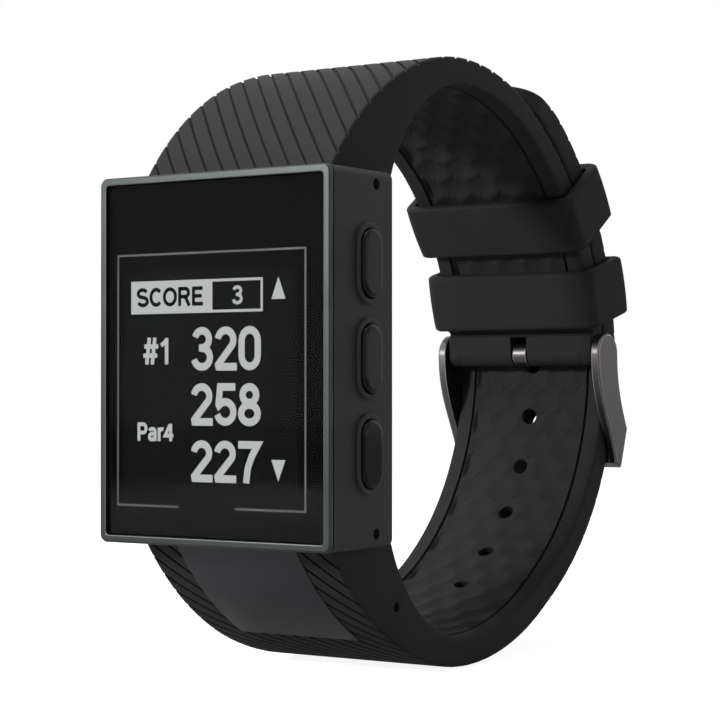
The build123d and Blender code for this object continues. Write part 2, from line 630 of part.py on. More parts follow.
def lower_profile():
    """Side view of the long strap: root, wide arc, tuck arc, then the lap up to the thin tip."""
    in_r = LOOP_R - LOWER_T
    root_c = (LOOP_Y, ROOT_R - in_r)
    start = root_angle(ROOT_R, -root_c[1])
    thick_to = TIP_ANGLE - TIP_TAPER
    mid_r = TAIL_OUT_R - (LOWER_T - TIP_THIN) * TIP_BOW
    tip = ThreePointArc((*polar(LOOP_C, TAIL_OUT_R, thick_to), 0),
                        (*polar(LOOP_C, mid_r, TIP_ANGLE - TIP_TAPER * TIP_BOW_AT), 0),
                        (*polar(LOOP_C, TAIL_IN_R + TIP_THIN, TIP_ANGLE), 0))
    corner = flip(root_corner(polar((LOOP_Y, -root_c[1]), ROOT_R, start)))
    return outline(
        arc(LOOP_C, LOOP_R, -root_angle(LOOP_R, 0), -90),
        arc(SWING_C, SWING_R, -90, TUCK_FROM),
        arc(TUCK_C, TUCK_R, TUCK_FROM, TUCK_TO),
        arc(LOOP_C, TAIL_OUT_R, TUCK_TO, thick_to),
        tip,
        line(polar(LOOP_C, TAIL_IN_R + TIP_THIN, TIP_ANGLE), polar(LOOP_C, TAIL_IN_R, TIP_ANGLE)),
        arc(LOOP_C, TAIL_IN_R, TIP_ANGLE, TUCK_TO),
        arc(TUCK_C, TUCK_R - LOWER_T, TUCK_TO, TUCK_FROM),
        arc(SWING_C, SWING_R - LOWER_T, TUCK_FROM, -90),
        arc(root_c, ROOT_R, -90, -start),
        corner,
    )


def upper_strap():
    body = across(upper_profile(), ROOT_W) & taper_plan(ROOT_W, BUCKLE_W)
    body -= rod_x(-CASE_W, CASE_W, (-BAR_Y, CASE_BAR_Z), BAR_R + BAR_GAP)
    body -= rod_x(-CASE_W, CASE_W, BAR_C, BAR_R + BAR_GAP)
    notch = TONGUE_W / 2 + TONGUE_GAP
    reach = TONGUE_EYE_R + NOTCH_CLEAR
    return body - block(-notch, notch, BAR_C[0] - 2 * UPPER_T, BAR_C[0] + 2 * UPPER_T, -LOOP_R / 2, BAR_C[1] + reach)


def drill(centre, angle, shape, r0, r1):
    """A shape cut along a radius of the side view, its long side along the strap."""
    mid = polar(centre, r0, angle)
    plane = Plane(origin=(0, *mid), x_dir=(1, 0, 0), z_dir=(0, cos(radians(angle)), sin(radians(angle))))
    return extrude(plane * shape, amount=r1 - r0)


def tip_corners():
    """What is cut from the tail's end to round its two corners."""
    inner = BUCKLE_W / 2 - TIP_CORNER
    keep = Pos(0, TIP_CORNER) * Rectangle(2 * inner, 2 * TIP_CORNER)
    for side in (-1, 1):
        keep += Pos(side * inner, TIP_CORNER) * Circle(TIP_CORNER)
    cut = Rectangle(2 * BUCKLE_W, 2 * TIP_CORNER) - keep
    return drill(LOOP_C, TIP_ANGLE, cut, UPPER_IN_R, TAIL_OUT_R + LOWER_T)


def lower_strap():
    body = across(lower_profile(), ROOT_W) & taper_plan(ROOT_W, BUCKLE_W)
    body -= tip_corners()
    body -= rod_x(-CASE_W, CASE_W, (-BAR_Y, -CASE_BAR_Z), BAR_R + BAR_GAP)
    step = degrees(HOLE_PITCH / (TUCK_R - LOWER_T))
    for i in range(HOLE_COUNT):
        body -= drill(TUCK_C, HOLE_FIRST - i * step, Circle(HOLE_R), TUCK_R - 3 * LOWER_T, TUCK_R + 2 * LOWER_T)
    slot = Rotation(0, 0, 90) * SlotOverall(SLOT_L, TONGUE_W + 2 * TONGUE_GAP)
    body -= drill(TUCK_C, SLOT_ANGLE, slot, TUCK_R - 2 * LOWER_T, TUCK_R + LOWER_T)
    body -= plate_shape(PLATE_GAP)
    return body - rod_x(-CASE_W, CASE_W, PIN_C, PIN_R + BAR_GAP)


def plate_shape(grow=0.0):
    """The curved plate with the lug that its cross pin holds."""
    inner = LOOP_R + PLATE_PROUD - PLATE_T - grow
    outer = LOOP_R + PLATE_PROUD + (LOWER_T if grow else 0)
    start = -root_angle(LOOP_R, 0) + PLATE_START
    stop = PLATE_END + degrees(grow / LOOP_R)
    face = outline(
        arc(LOOP_C, outer, start, stop),
        line(polar(LOOP_C, outer, stop), polar(LOOP_C, inner, stop)),
        arc(LOOP_C, inner, stop, start),
        line(polar(LOOP_C, inner, start), polar(LOOP_C, outer, start)),
    )
    plate = across(face, PLATE_W / 2 + grow)
    lug_r = LUG_T / 2 + grow
    foot = polar(LOOP_C, inner + PLATE_T * 0.4, PIN_ANGLE)
    along = (-sin(radians(PIN_ANGLE)) * lug_r, cos(radians(PIN_ANGLE)) * lug_r)
    neck = make_face(line(
        (PIN_C[0] + along[0], PIN_C[1] + along[1]),
        (foot[0] + along[0], foot[1] + along[1]),
        (foot[0] - along[0], foot[1] - along[1]),
        (PIN_C[0] - along[0], PIN_C[1] - along[1]),
        (PIN_C[0] + along[0], PIN_C[1] + along[1]),
    ))
    lug = across(neck, LUG_W / 2 + grow) + rod_x(-LUG_W / 2 - grow, LUG_W / 2 + grow, PIN_C, lug_r)
    return plate + lug


def strap_plate():
    return plate_shape() - rod_x(-LUG_W, LUG_W, PIN_C, PIN_R + BAR_GAP)


def plate_pin():
    taper = (ROOT_W - BUCKLE_W) / 2 / (TAPER_TO - TAPER_FROM)
    half = ROOT_W / 2 - max(0, PIN_C[0] - TAPER_FROM) * taper - PIN_SINK
    return rod_x(-half, half, PIN_C, PIN_R)


# ---- Spring bars --------------------------------------------------------------------
def bar_tube(half, point, tip_length, engage):
    """A tube with a blind bore at each end for a sprung tip."""
    bore = tip_length - engage + TIP_TRAVEL
    tube = rod_x(-half, half, point, BAR_R)
    for side in (-1, 1):
        x0, x1 = sorted((side * half, side * (half - bore)))
        tube -= rod_x(x0, x1, point, TIP_R + TIP_GAP)
    return tube


def bar_tip(side, out, length, point):
    x0, x1 = sorted((side * out, side * (out - length)))
    return rod_x(x0, x1, point, TIP_R)


# ---- Buckle -----------------------------------------------------------------------
def cross_face():
    """Side view of the crossbar: a flat bar that follows the strap's outer face."""
    inner = TUCK_R + CROSS_GAP
    outer = inner + CROSS_T
    return [polar(TUCK_C, inner, CROSS_TOP), polar(TUCK_C, outer, CROSS_TOP),
            polar(TUCK_C, outer, CROSS_END), polar(TUCK_C, inner, CROSS_END)]


def arm_outline():
    """Side view of an arm: rounded over the bar, sweeping out to the crossbar."""
    top, out_top, out_end, end = cross_face()
    ring_c = (BAR_C[0] + ARM_RING_OUT, BAR_C[1])
    front = (ring_c[0] - ARM_RING_R, ring_c[1])
    heel = (ring_c[0] + ARM_RING_R, ring_c[1])
    back = Spline((*heel, 0), (*out_top, 0), tangents=[(0, -1, 0), ARM_BACK_DIR])
    throat = Spline((*end, 0), (*front, 0), tangents=[ARM_THROAT_DIR, (0, 1, 0)])
    return outline(arc(ring_c, ARM_RING_R, 180, 0), back, line(out_top, out_end), line(out_end, end), throat)


def buckle_frame():
    inside = BUCKLE_W / 2 + ARM_GAP
    corners_yz = cross_face()
    body = across(make_face(line(*corners_yz, corners_yz[0])), inside + ARM_T / 2)
    for side in (-1, 1):
        plane = Plane(origin=(side * inside, 0, 0), x_dir=(0, 1, 0), z_dir=(1, 0, 0))
        arm = extrude(plane * arm_outline(), amount=side * ARM_T)
        outer_face = arm.faces().sort_by(Axis.X)[-1 if side > 0 else 0]
        body += chamfer(outer_face.edges(), ARM_T * 0.2)
        x0, x1 = sorted((side * (inside - ARM_T), side * (inside + ARM_BLIND)))
        body -= rod_x(x0, x1, BAR_C, TIP_R + TIP_GAP)
    return body


def finger(points, thick):
    """A bent strip of round-ended runs, in side view."""
    strip = Sketch()
    for a, b in zip(points[:-1], points[1:]):
        run = sqrt((b[0] - a[0]) ** 2 + (b[1] - a[1]) ** 2)
        turn = degrees(atan2(b[1] - a[1], b[0] - a[0]))
        strip += Pos((a[0] + b[0]) / 2, (a[1] + b[1]) / 2) * Rotation(0, 0, turn) * SlotCenterToCenter(run, thick)
    return strip


def buckle_tongue():
    """An eye around the bar and a bent finger that rests on the crossbar."""
    _, out_top, out_end, _ = cross_face()
    slope = atan2(out_top[1] - out_end[1], out_top[0] - out_end[0])
    rest = TONGUE_T / 2 + TONGUE_LIFT
    lie = (out_top[0] + sin(slope) * rest, out_top[1] - cos(slope) * rest)
    reach = CROSS_REACH * sqrt((out_top[0] - out_end[0]) ** 2 + (out_top[1] - out_end[1]) ** 2)
    tip = (lie[0] - cos(slope) * reach, lie[1] - sin(slope) * reach)
    knee = polar(TUCK_C, TUCK_R + TONGUE_T / 2 + KNEE_LIFT, SLOT_ANGLE - KNEE_BEYOND)
    body = across(finger([BAR_C, knee, lie, tip], TONGUE_T), TONGUE_W / 2)
    body += rod_x(-TONGUE_W / 2, TONGUE_W / 2, BAR_C, TONGUE_EYE_R)
    return body - rod_x(-TONGUE_W, TONGUE_W, BAR_C, BAR_R + EYE_GAP)


# ---- Keepers ----------------------------------------------------------------------
def keeper(angle):
    """A straight rubber band around both straps, centred at an angle about the loop centre."""
    half_l = KEEPER_L / 2
    inner = sqrt((UPPER_IN_R - KEEPER_GAP) ** 2 - half_l**2)
    outer = TAIL_OUT_R + KEEPER_GAP
    hole_w = BUCKLE_W + 2 * KEEPER_GAP
    low = inner - KEEPER_IN_T
    high = outer + KEEPER_OUT_T
    start = (-sin(radians(angle)) * -half_l, cos(radians(angle)) * -half_l)
    plane = Plane(origin=(0, LOOP_Y + start[0], start[1]), x_dir=(1, 0, 0),
                  z_dir=(0, -sin(radians(angle)), cos(radians(angle))))
    band = Pos(0, (low + high) / 2) * RectangleRounded(hole_w + 2 * KEEPER_SIDE_T, high - low, KEEPER_CORNER)
    body = extrude(plane * band, amount=KEEPER_L)
    ends = body.faces().sort_by(Axis((0, 0, 0), plane.z_dir))
    body = fillet(ends[0].edges() + ends[-1].edges(), KEEPER_EDGE)
    hole = Pos(0, (inner + outer) / 2) * Rectangle(hole_w, outer - inner)
    return body - extrude(plane * hole, amount=KEEPER_L)


# ---- All the parts ----------------------------------------------------------------
def build_all():
    pads = battery_pads()
    parts = {
        "mid_case": mid_case(), "back_cover": back_cover(), "back_gasket": gasket_ring(),
        "back_screws": back_screws(), "charging_contacts": charging_contacts(),
        "bezel_frame": bezel_frame(), "front_lens": front_lens(), "lens_mask": lens_mask(),
        "lens_tape": lens_tape(), "lcd_panel": lcd_panel(), "backlight_plate": backlight_plate(),
        "display_frame": display_frame(), "display_flex": display_flex(),
        "main_board": main_board(), "board_screws": board_screws(), "gps_antenna": gps_antenna(),
        "shield_can": shield_can(), "battery_cell": battery_cell(), "battery_front_pad": pads[0],
        "battery_back_pad": pads[1], "battery_flex": battery_flex(),
        "switch_board": switch_board(), "side_switches": side_switches(),
        "upper_strap": upper_strap(), "lower_strap": lower_strap(),
        "strap_plate": strap_plate(), "plate_pin": plate_pin(),
        "buckle_frame": buckle_frame(), "buckle_tongue": buckle_tongue(),
        "free_keeper": keeper(FREE_KEEPER_ANGLE), "fixed_keeper": keeper(FIXED_KEEPER_ANGLE),
    }
    for name, z in BUTTON_PLACES.items():
        parts[f"button_{name}"] = button(z)
        parts[f"button_{name}_seal"] = button_seal(z)
        parts[f"button_{name}_clip"] = button_clip(z)
    bars = {
        "upper": ((-BAR_Y, CASE_BAR_Z), ROOT_W / 2, ROOT_W / 2 + SEAT_GAP + TIP_ENGAGE, TIP_LENGTH),
        "lower": ((-BAR_Y, -CASE_BAR_Z), ROOT_W / 2, ROOT_W / 2 + SEAT_GAP + TIP_ENGAGE, TIP_LENGTH),
        "buckle": (BAR_C, BUCKLE_W / 2, BUCKLE_W / 2 + ARM_GAP + BUCKLE_TIP_IN, BUCKLE_TIP_LENGTH),
    }
    for name, (point, half, out, length) in bars.items():
        parts[f"{name}_bar_tube"] = bar_tube(half, point, length, out - half)
        for side, word in ((-1, "left"), (1, "right")):
            parts[f"{name}_bar_tip_{word}"] = bar_tip(side, out, length, point)
    return parts


def write_parts(parts):
    os.makedirs("parts", exist_ok=True)
    for name, shape in parts.items():
        solids = shape if isinstance(shape, list) else [shape]
        bodies = [solid for item in solids for solid in item.solids()]
        whole = bodies[0] if len(bodies) == 1 else Compound(bodies)
        whole.label = name
        export_step(whole, f"parts/{name}.step")


write_parts(build_all())
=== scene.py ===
from math import atan2, cos, degrees, pi, radians, sin, sqrt

import bpy
import numpy as np
from mathutils import Matrix, Vector


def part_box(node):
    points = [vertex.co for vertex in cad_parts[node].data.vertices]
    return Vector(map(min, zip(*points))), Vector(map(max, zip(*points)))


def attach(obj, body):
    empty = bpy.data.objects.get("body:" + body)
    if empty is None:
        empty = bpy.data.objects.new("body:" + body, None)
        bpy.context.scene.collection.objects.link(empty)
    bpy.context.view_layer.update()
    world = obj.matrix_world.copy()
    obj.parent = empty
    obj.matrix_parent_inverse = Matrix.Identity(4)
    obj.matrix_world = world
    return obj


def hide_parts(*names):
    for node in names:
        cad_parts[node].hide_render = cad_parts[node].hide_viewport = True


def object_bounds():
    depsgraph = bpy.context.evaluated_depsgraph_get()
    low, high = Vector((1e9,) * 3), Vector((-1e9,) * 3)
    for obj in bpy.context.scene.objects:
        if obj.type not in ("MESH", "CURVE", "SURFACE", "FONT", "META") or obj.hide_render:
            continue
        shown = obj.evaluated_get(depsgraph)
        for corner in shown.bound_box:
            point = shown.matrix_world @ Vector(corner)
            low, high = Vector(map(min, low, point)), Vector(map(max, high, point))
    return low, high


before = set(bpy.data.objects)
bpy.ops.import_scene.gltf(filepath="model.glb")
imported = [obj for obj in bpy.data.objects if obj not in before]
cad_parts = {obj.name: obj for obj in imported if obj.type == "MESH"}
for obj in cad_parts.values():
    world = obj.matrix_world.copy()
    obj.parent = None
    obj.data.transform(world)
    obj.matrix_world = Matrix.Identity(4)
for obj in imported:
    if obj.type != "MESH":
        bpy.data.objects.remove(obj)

cad_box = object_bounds()
MM = 0.001
FLOOR_GAP = 0.2 * MM           # paper below the loop's lowest point


# ---- Studio ------------------------------------------------------------------------
# A pale sweep of paper, white beyond it, soft boxes above and beside, and a smaller key lamp.
# The watch stands on the lowest point of its buckled strap.
def linear(hex_colour):
    """An sRGB hex colour as linear RGBA."""
    parts = [int(hex_colour[i:i + 2], 16) / 255 for i in (1, 3, 5)]
    return (*[c / 12.92 if c <= 0.04045 else ((c + 0.055) / 1.055) ** 2.4 for c in parts], 1.0)


def add(tree, kind, values=None, links=None, **settings):
    """One node: its settings, the values of its sockets, and what feeds them."""
    node = tree.nodes.new(kind)
    for name, value in settings.items():
        setattr(node, name, value)
    for name, value in (values or {}).items():
        node.inputs[name].default_value = value
    for name, source in (links or {}).items():
        tree.links.new(source, node.inputs[name])
    return node


def new_material(name):
    """An empty material, its node tree, and the object coordinates that its textures read."""
    material = bpy.data.materials.new(name)
    material.use_nodes = True
    tree = material.node_tree
    tree.nodes.clear()
    return material, tree, add(tree, "ShaderNodeTexCoord").outputs["Object"]


def soft_box(name, place, aim, size, power):
    """A square lamp that faces a point."""
    lamp = bpy.data.lights.new(name, "AREA")
    lamp.shape = "RECTANGLE"
    lamp.size, lamp.size_y = size
    lamp.energy = power
    holder = bpy.data.objects.new(name, lamp)
    holder.location = place
    holder.rotation_euler = (Vector(aim) - Vector(place)).to_track_quat("-Z", "Y").to_euler()
    bpy.context.scene.collection.objects.link(holder)


def deselect():
    bpy.ops.object.select_all(action="DESELECT")


def seen_white(tree, light):
    """1 where the eye, a reflection or a clear piece looks straight at the background."""
    ray = add(tree, "ShaderNodeLightPath")
    first = add(tree, "ShaderNodeMath", {}, {0: ray.outputs["Is Camera Ray"], 1: ray.outputs["Is Glossy Ray"]},
                operation="MAXIMUM")
    seen = add(tree, "ShaderNodeMath", {}, {0: first.outputs[0], 1: ray.outputs["Is Transmission Ray"]},
               operation="MAXIMUM")
    return add(tree, "ShaderNodeMix", {2: light, 3: 1.0}, {0: seen.outputs[0]}, data_type="FLOAT")


scene = bpy.context.scene
scene.view_settings.view_transform = "Standard"
world = bpy.data.worlds.new("studio")
world.use_nodes = True
scene.world = world
sky = world.node_tree
sky.nodes.clear()
glow = add(sky, "ShaderNodeBackground", {"Color": linear("#ffffff")},
           {"Strength": seen_white(sky, 0.16).outputs[0]})
add(sky, "ShaderNodeOutputWorld", {}, {"Surface": glow.outputs[0]})

camera = bpy.data.cameras.new("camera")
camera.lens = 106.7
camera.sensor_width = 36.0
eye = bpy.data.objects.new("camera", camera)
eye.location = (0.16927, -0.22802, -0.00372)
eye.rotation_euler = (radians(90.7606), 0.0, radians(34.360))
scene.collection.objects.link(eye)
scene.camera = eye

middle = (cad_box[0] + cad_box[1]) / 2
soft_box("top_box", (-0.10, -0.12, 0.45), middle, (0.30, 0.30), 2.0)
soft_box("key_box", (-0.28, -0.50, 0.16), middle, (0.07, 0.07), 3.1)
soft_box("side_box", (0.50, 0.05, 0.05), middle, (0.25, 0.35), 0.35)

paper, tree, where = new_material("white_sweep_paper")
grain = add(tree, "ShaderNodeTexNoise", {"Scale": 900.0, "Detail": 3.0}, {"Vector": where})
tooth = add(tree, "ShaderNodeBump", {"Strength": 0.05, "Distance": 0.0002}, {"Height": grain.outputs["Fac"]})
sheet = add(tree, "ShaderNodeBsdfPrincipled", {"Base Color": linear("#b4b4b4"), "Roughness": 0.9},
            {"Normal": tooth.outputs[0]})
ray = add(tree, "ShaderNodeLightPath")
mirrored = add(tree, "ShaderNodeMath", {1: 0.2}, {0: seen_white(tree, 0.0).outputs[0]}, operation="MULTIPLY")
lift = add(tree, "ShaderNodeMath", {1: 0.7}, {0: ray.outputs["Is Camera Ray"], 2: mirrored.outputs[0]},
           operation="MULTIPLY_ADD")
white = add(tree, "ShaderNodeEmission", {"Color": linear("#ffffff")}, {"Strength": lift.outputs[0]})
blend = add(tree, "ShaderNodeAddShader", {}, {0: sheet.outputs[0], 1: white.outputs[0]})
add(tree, "ShaderNodeOutputMaterial", {}, {"Surface": blend.outputs[0]})

deselect()
bpy.ops.mesh.primitive_plane_add(size=3.0, location=(0, 0, 0))
floor = bpy.context.object
floor.name = "floor"
floor.data.transform(Matrix.Translation((0, 0, cad_box[0].z - FLOOR_GAP)))
floor.data.materials.append(paper)


# ---- Case ----------------------------------------------------------------------------
# An injection-moulded tub of black ABS with a spark-eroded matte texture, closed at the
# back by a screwed cover of the same plastic over a square rubber gasket.
def dress(material, *names):
    """Gives CAD nodes their finish."""
    for name in names:
        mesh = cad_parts[name].data
        mesh.materials.clear()
        mesh.materials.append(material)


def edge_turn(tree, radius, samples=6):
    """A rounded normal, and how it agrees with the flat one: 1 on faces, less at edges."""
    rounded = add(tree, "ShaderNodeBevel", {"Radius": radius}, samples=samples).outputs[0]
    flat = add(tree, "ShaderNodeNewGeometry").outputs["Normal"]
    agree = add(tree, "ShaderNodeVectorMath", {}, {0: rounded, 1: flat}, operation="DOT_PRODUCT")
    return rounded, agree.outputs["Value"]


# Moulded ABS: the steel mould's eroded surface leaves grains of about 0.12 mm, which
# spread the light. Its edges are painted lighter, partly for rubbing and partly as a painted highlight.
case_abs, tree, where = new_material("moulded_abs_matte")
spark = add(tree, "ShaderNodeTexNoise", {"Scale": 8300.0, "Detail": 2.0, "Roughness": 0.6}, {"Vector": where})
cloud = add(tree, "ShaderNodeTexNoise", {"Scale": 160.0, "Detail": 4.0}, {"Vector": where})
rounded, turn = edge_turn(tree, 0.00022)
# edges painted lighter where the bevel normal turns: partly rubbing, partly a painted highlight
edge_highlight_and_wear = add(tree, "ShaderNodeMapRange", {"From Min": 0.995, "From Max": 0.86, "To Min": 0.0, "To Max": 0.75},
           {"Value": turn})
tone = add(tree, "ShaderNodeMix", {6: linear("#2b2c2c"), 7: linear("#313232")}, {0: cloud.outputs["Fac"]},
           data_type="RGBA")
highlit_edge_tone = add(tree, "ShaderNodeMix", {7: linear("#4b4c4c")}, {0: edge_highlight_and_wear.outputs[0], 6: tone.outputs[2]},
             data_type="RGBA")
gloss = add(tree, "ShaderNodeMapRange", {"To Min": 0.44, "To Max": 0.58}, {"Value": cloud.outputs["Fac"]})
texture = add(tree, "ShaderNodeBump", {"Strength": 0.22, "Distance": 0.00003},
              {"Height": spark.outputs["Fac"], "Normal": rounded})
shader = add(tree, "ShaderNodeBsdfPrincipled", {"IOR": 1.53, "Specular IOR Level": 0.12},
             {"Base Color": highlit_edge_tone.outputs[2], "Roughness": gloss.outputs[0], "Normal": texture.outputs[0]})
add(tree, "ShaderNodeOutputMaterial", {}, {"Surface": shader.outputs[0]})
dress(case_abs, "mid_case", "back_cover")

# Nitrile seals: soft black rubber with a faint bloom.
seal_rubber, tree, where = new_material("nitrile_rubber")
bloom = add(tree, "ShaderNodeTexNoise", {"Scale": 1400.0, "Detail": 4.0}, {"Vector": where})
tone = add(tree, "ShaderNodeMix", {6: linear("#171717"), 7: linear("#222222")}, {0: bloom.outputs["Fac"]},
           data_type="RGBA")
skin = add(tree, "ShaderNodeBump", {"Strength": 0.3, "Distance": 0.00004}, {"Height": bloom.outputs["Fac"]})
shader = add(tree, "ShaderNodeBsdfPrincipled", {"Roughness": 0.72, "Specular IOR Level": 0.3},
             {"Base Color": tone.outputs[2], "Normal": skin.outputs[0]})
add(tree, "ShaderNodeOutputMaterial", {}, {"Surface": shader.outputs[0]})
dress(seal_rubber, "back_gasket", "button_top_seal", "button_middle_seal", "button_bottom_seal")

# Turned stainless steel: fine tool marks of about 0.08 mm, which blur what it mirrors.
turned_steel, tree, where = new_material("turned_stainless_steel")
tool_marks = add(tree, "ShaderNodeTexNoise", {"Scale": 12500.0, "Detail": 1.0}, {"Vector": where})
stain = add(tree, "ShaderNodeTexNoise", {"Scale": 700.0, "Detail": 3.0}, {"Vector": where})
tone = add(tree, "ShaderNodeMix", {6: linear("#8d8f90"), 7: linear("#b3b4b5")}, {0: stain.outputs["Fac"]},
           data_type="RGBA")
gloss = add(tree, "ShaderNodeMapRange", {"To Min": 0.22, "To Max": 0.4}, {"Value": stain.outputs["Fac"]})
marks = add(tree, "ShaderNodeBump", {"Strength": 0.15, "Distance": 0.00002}, {"Height": tool_marks.outputs["Fac"]})
shader = add(tree, "ShaderNodeBsdfPrincipled", {"Metallic": 1.0},
             {"Base Color": tone.outputs[2], "Roughness": gloss.outputs[0], "Normal": marks.outputs[0]})
add(tree, "ShaderNodeOutputMaterial", {}, {"Surface": shader.outputs[0]})
dress(turned_steel, "back_screws", "board_screws", "button_top_clip", "button_middle_clip", "button_bottom_clip")

# Gold-plated brass pins, dulled by the charging clip's springs.
gold, tree, where = new_material("gold_plated_brass")
rub = add(tree, "ShaderNodeTexNoise", {"Scale": 2200.0, "Detail": 4.0}, {"Vector": where})
tone = add(tree, "ShaderNodeMix", {6: linear("#b98f3e"), 7: linear("#dcb866")}, {0: rub.outputs["Fac"]},
           data_type="RGBA")
gloss = add(tree, "ShaderNodeMapRange", {"To Min": 0.18, "To Max": 0.42}, {"Value": rub.outputs["Fac"]})
shader = add(tree, "ShaderNodeBsdfPrincipled", {"Metallic": 1.0},
             {"Base Color": tone.outputs[2], "Roughness": gloss.outputs[0]})
add(tree, "ShaderNodeOutputMaterial", {}, {"Surface": shader.outputs[0]})
dress(gold, "charging_contacts")


# ---- Electronics ------------------------------------------------------------------------
# What the case encloses: the display's tray, a green board with a ceramic antenna and a
# tinned shield can, a foil-wrapped cell between foam pads, and the side switches' board.
# Each finish is plain factory stock, with the mottling that such stock has.
INSIDE = (
    ("glass_filled_nylon", "#34363a", "#41444a", 0.62, 0.0, 900.0, ("display_frame",)),
    ("polyester_foam", "#1c1d20", "#2a2b2f", 0.95, 0.0, 3500.0,
     ("battery_front_pad", "battery_back_pad", "lens_tape")),
    ("solder_mask_green", "#14402a", "#1d5336", 0.34, 0.0, 1100.0, ("main_board", "switch_board")),
    ("sintered_ceramic", "#b9ad95", "#cbbfa8", 0.55, 0.0, 2600.0, ("gps_antenna",)),
    ("tinned_sheet_steel", "#a7a9a6", "#c2c3c0", 0.30, 1.0, 1500.0, ("shield_can",)),
    ("aluminised_film", "#9b9da3", "#b5b7bc", 0.38, 1.0, 420.0, ("battery_cell",)),
    ("polyimide_film", "#8a5518", "#a86d24", 0.30, 0.0, 700.0, ("display_flex", "battery_flex")),
    ("acetal_housing", "#27282c", "#33343a", 0.48, 0.0, 1300.0, ("side_switches",)),
    ("diffuser_sheet", "#d5d7d5", "#e2e4e2", 0.50, 0.0, 800.0, ("backlight_plate",)),
)
for name, low, high, rough, metal, scale, nodes in INSIDE:
    material, tree, where = new_material(name)
    mottle = add(tree, "ShaderNodeTexNoise", {"Scale": scale, "Detail": 4.0}, {"Vector": where})
    tone = add(tree, "ShaderNodeMix", {6: linear(low), 7: linear(high)}, {0: mottle.outputs["Fac"]},
               data_type="RGBA")
    gloss = add(tree, "ShaderNodeMapRange", {"To Min": rough - 0.06, "To Max": rough + 0.05},
                {"Value": mottle.outputs["Fac"]})
    skin = add(tree, "ShaderNodeBump", {"Strength": 0.2, "Distance": 0.00003}, {"Height": mottle.outputs["Fac"]})
    shader = add(tree, "ShaderNodeBsdfPrincipled", {"Metallic": metal},
                 {"Base Color": tone.outputs[2], "Roughness": gloss.outputs[0], "Normal": skin.outputs[0]})
    add(tree, "ShaderNodeOutputMaterial", {}, {"Surface": shader.outputs[0]})
    dress(material, *nodes)


# ---- Bezel and lens --------------------------------------------------------------------
# A gun-metal anodised aluminium frame around a flat mineral glass with a coating against
# reflections. A black print backs the glass, and the display's picture lies before it.
# Anodised aluminium: bead-blasted to a satin, with pits of about 0.1 mm under the dye. Its
# edges are painted bright, a painted highlight where the chamfers would catch the light.
anodised, tree, where = new_material("anodised_aluminium_satin")
blast = add(tree, "ShaderNodeTexNoise", {"Scale": 10000.0, "Detail": 2.0}, {"Vector": where})
dye = add(tree, "ShaderNodeTexNoise", {"Scale": 210.0, "Detail": 3.0}, {"Vector": where})
rounded, turn = edge_turn(tree, 0.00022)
# painted highlight: the rounded edges are coloured much brighter than the dyed faces
painted_edge_highlight = add(tree, "ShaderNodeMapRange", {"From Min": 0.99, "From Max": 0.80}, {"Value": turn})
dyed = add(tree, "ShaderNodeMix", {6: linear("#2f3231"), 7: linear("#393c3b")}, {0: dye.outputs["Fac"]},
           data_type="RGBA")
tone = add(tree, "ShaderNodeMix", {7: linear("#868b8a")}, {0: painted_edge_highlight.outputs[0], 6: dyed.outputs[2]},
           data_type="RGBA")
gloss = add(tree, "ShaderNodeMapRange", {"To Min": 0.36, "To Max": 0.46}, {"Value": blast.outputs["Fac"]})
pits = add(tree, "ShaderNodeBump", {"Strength": 0.12, "Distance": 0.00002},
           {"Height": blast.outputs["Fac"], "Normal": rounded})
shader = add(tree, "ShaderNodeBsdfPrincipled", {"Metallic": 1.0},
             {"Base Color": tone.outputs[2], "Roughness": gloss.outputs[0], "Normal": pits.outputs[0]})
add(tree, "ShaderNodeOutputMaterial", {}, {"Surface": shader.outputs[0]})
dress(anodised, "bezel_frame")

# Mineral glass: polished flat, with faint wiping marks. Its coating leaves so little
# reflection that it acts as a much lower index.
glass, tree, where = new_material("coated_mineral_glass")
wipe = add(tree, "ShaderNodeTexNoise", {"Scale": 130.0, "Detail": 5.0, "Roughness": 0.7}, {"Vector": where})
gloss = add(tree, "ShaderNodeMapRange", {"To Min": 0.015, "To Max": 0.06}, {"Value": wipe.outputs["Fac"]})
shader = add(tree, "ShaderNodeBsdfPrincipled",
             {"Base Color": linear("#f2f4f4"), "IOR": 1.17, "Transmission Weight": 1.0},
             {"Roughness": gloss.outputs[0]})
add(tree, "ShaderNodeOutputMaterial", {}, {"Surface": shader.outputs[0]})
dress(glass, "front_lens")

# Screen-printed ink: dense black, with the mesh's faint unevenness.
black_ink, tree, where = new_material("screen_printed_black_ink")
mesh_marks = add(tree, "ShaderNodeTexNoise", {"Scale": 5200.0, "Detail": 2.0}, {"Vector": where})
tone = add(tree, "ShaderNodeMix", {6: linear("#060607"), 7: linear("#09090a")}, {0: mesh_marks.outputs["Fac"]},
           data_type="RGBA")
shader = add(tree, "ShaderNodeBsdfPrincipled", {"Roughness": 0.6, "Specular IOR Level": 0.0},
             {"Base Color": tone.outputs[2]})
add(tree, "ShaderNodeOutputMaterial", {}, {"Surface": shader.outputs[0]})
dress(black_ink, "lens_mask")

# Liquid-crystal panel: dark polariser film in the negative state, worn by the picture's
# ground. The panel behind the print stays black.
polariser, tree, where = new_material("polariser_film_dark")
film = add(tree, "ShaderNodeTexNoise", {"Scale": 260.0, "Detail": 3.0}, {"Vector": where})
tone = add(tree, "ShaderNodeMix", {6: linear("#0d0e0e"), 7: linear("#111212")}, {0: film.outputs["Fac"]},
           data_type="RGBA")
shader = add(tree, "ShaderNodeBsdfPrincipled", {"Roughness": 0.5, "Specular IOR Level": 0.0},
             {"Base Color": tone.outputs[2]})
add(tree, "ShaderNodeOutputMaterial", {}, {"Surface": shader.outputs[0]})
dress(black_ink, "lcd_panel")


# ---- What the display shows ---------------------------------------------------------
# Light segments of the liquid-crystal panel: a score box, three distances, the hole and
# its par, and two arrows. A fine grey frame is printed around the window.
mask_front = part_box("lens_mask")[0].y
THICK = 0.012 * MM             # one layer of print or film
INK_EDGE = 0.08                # print's edge in from the lens's

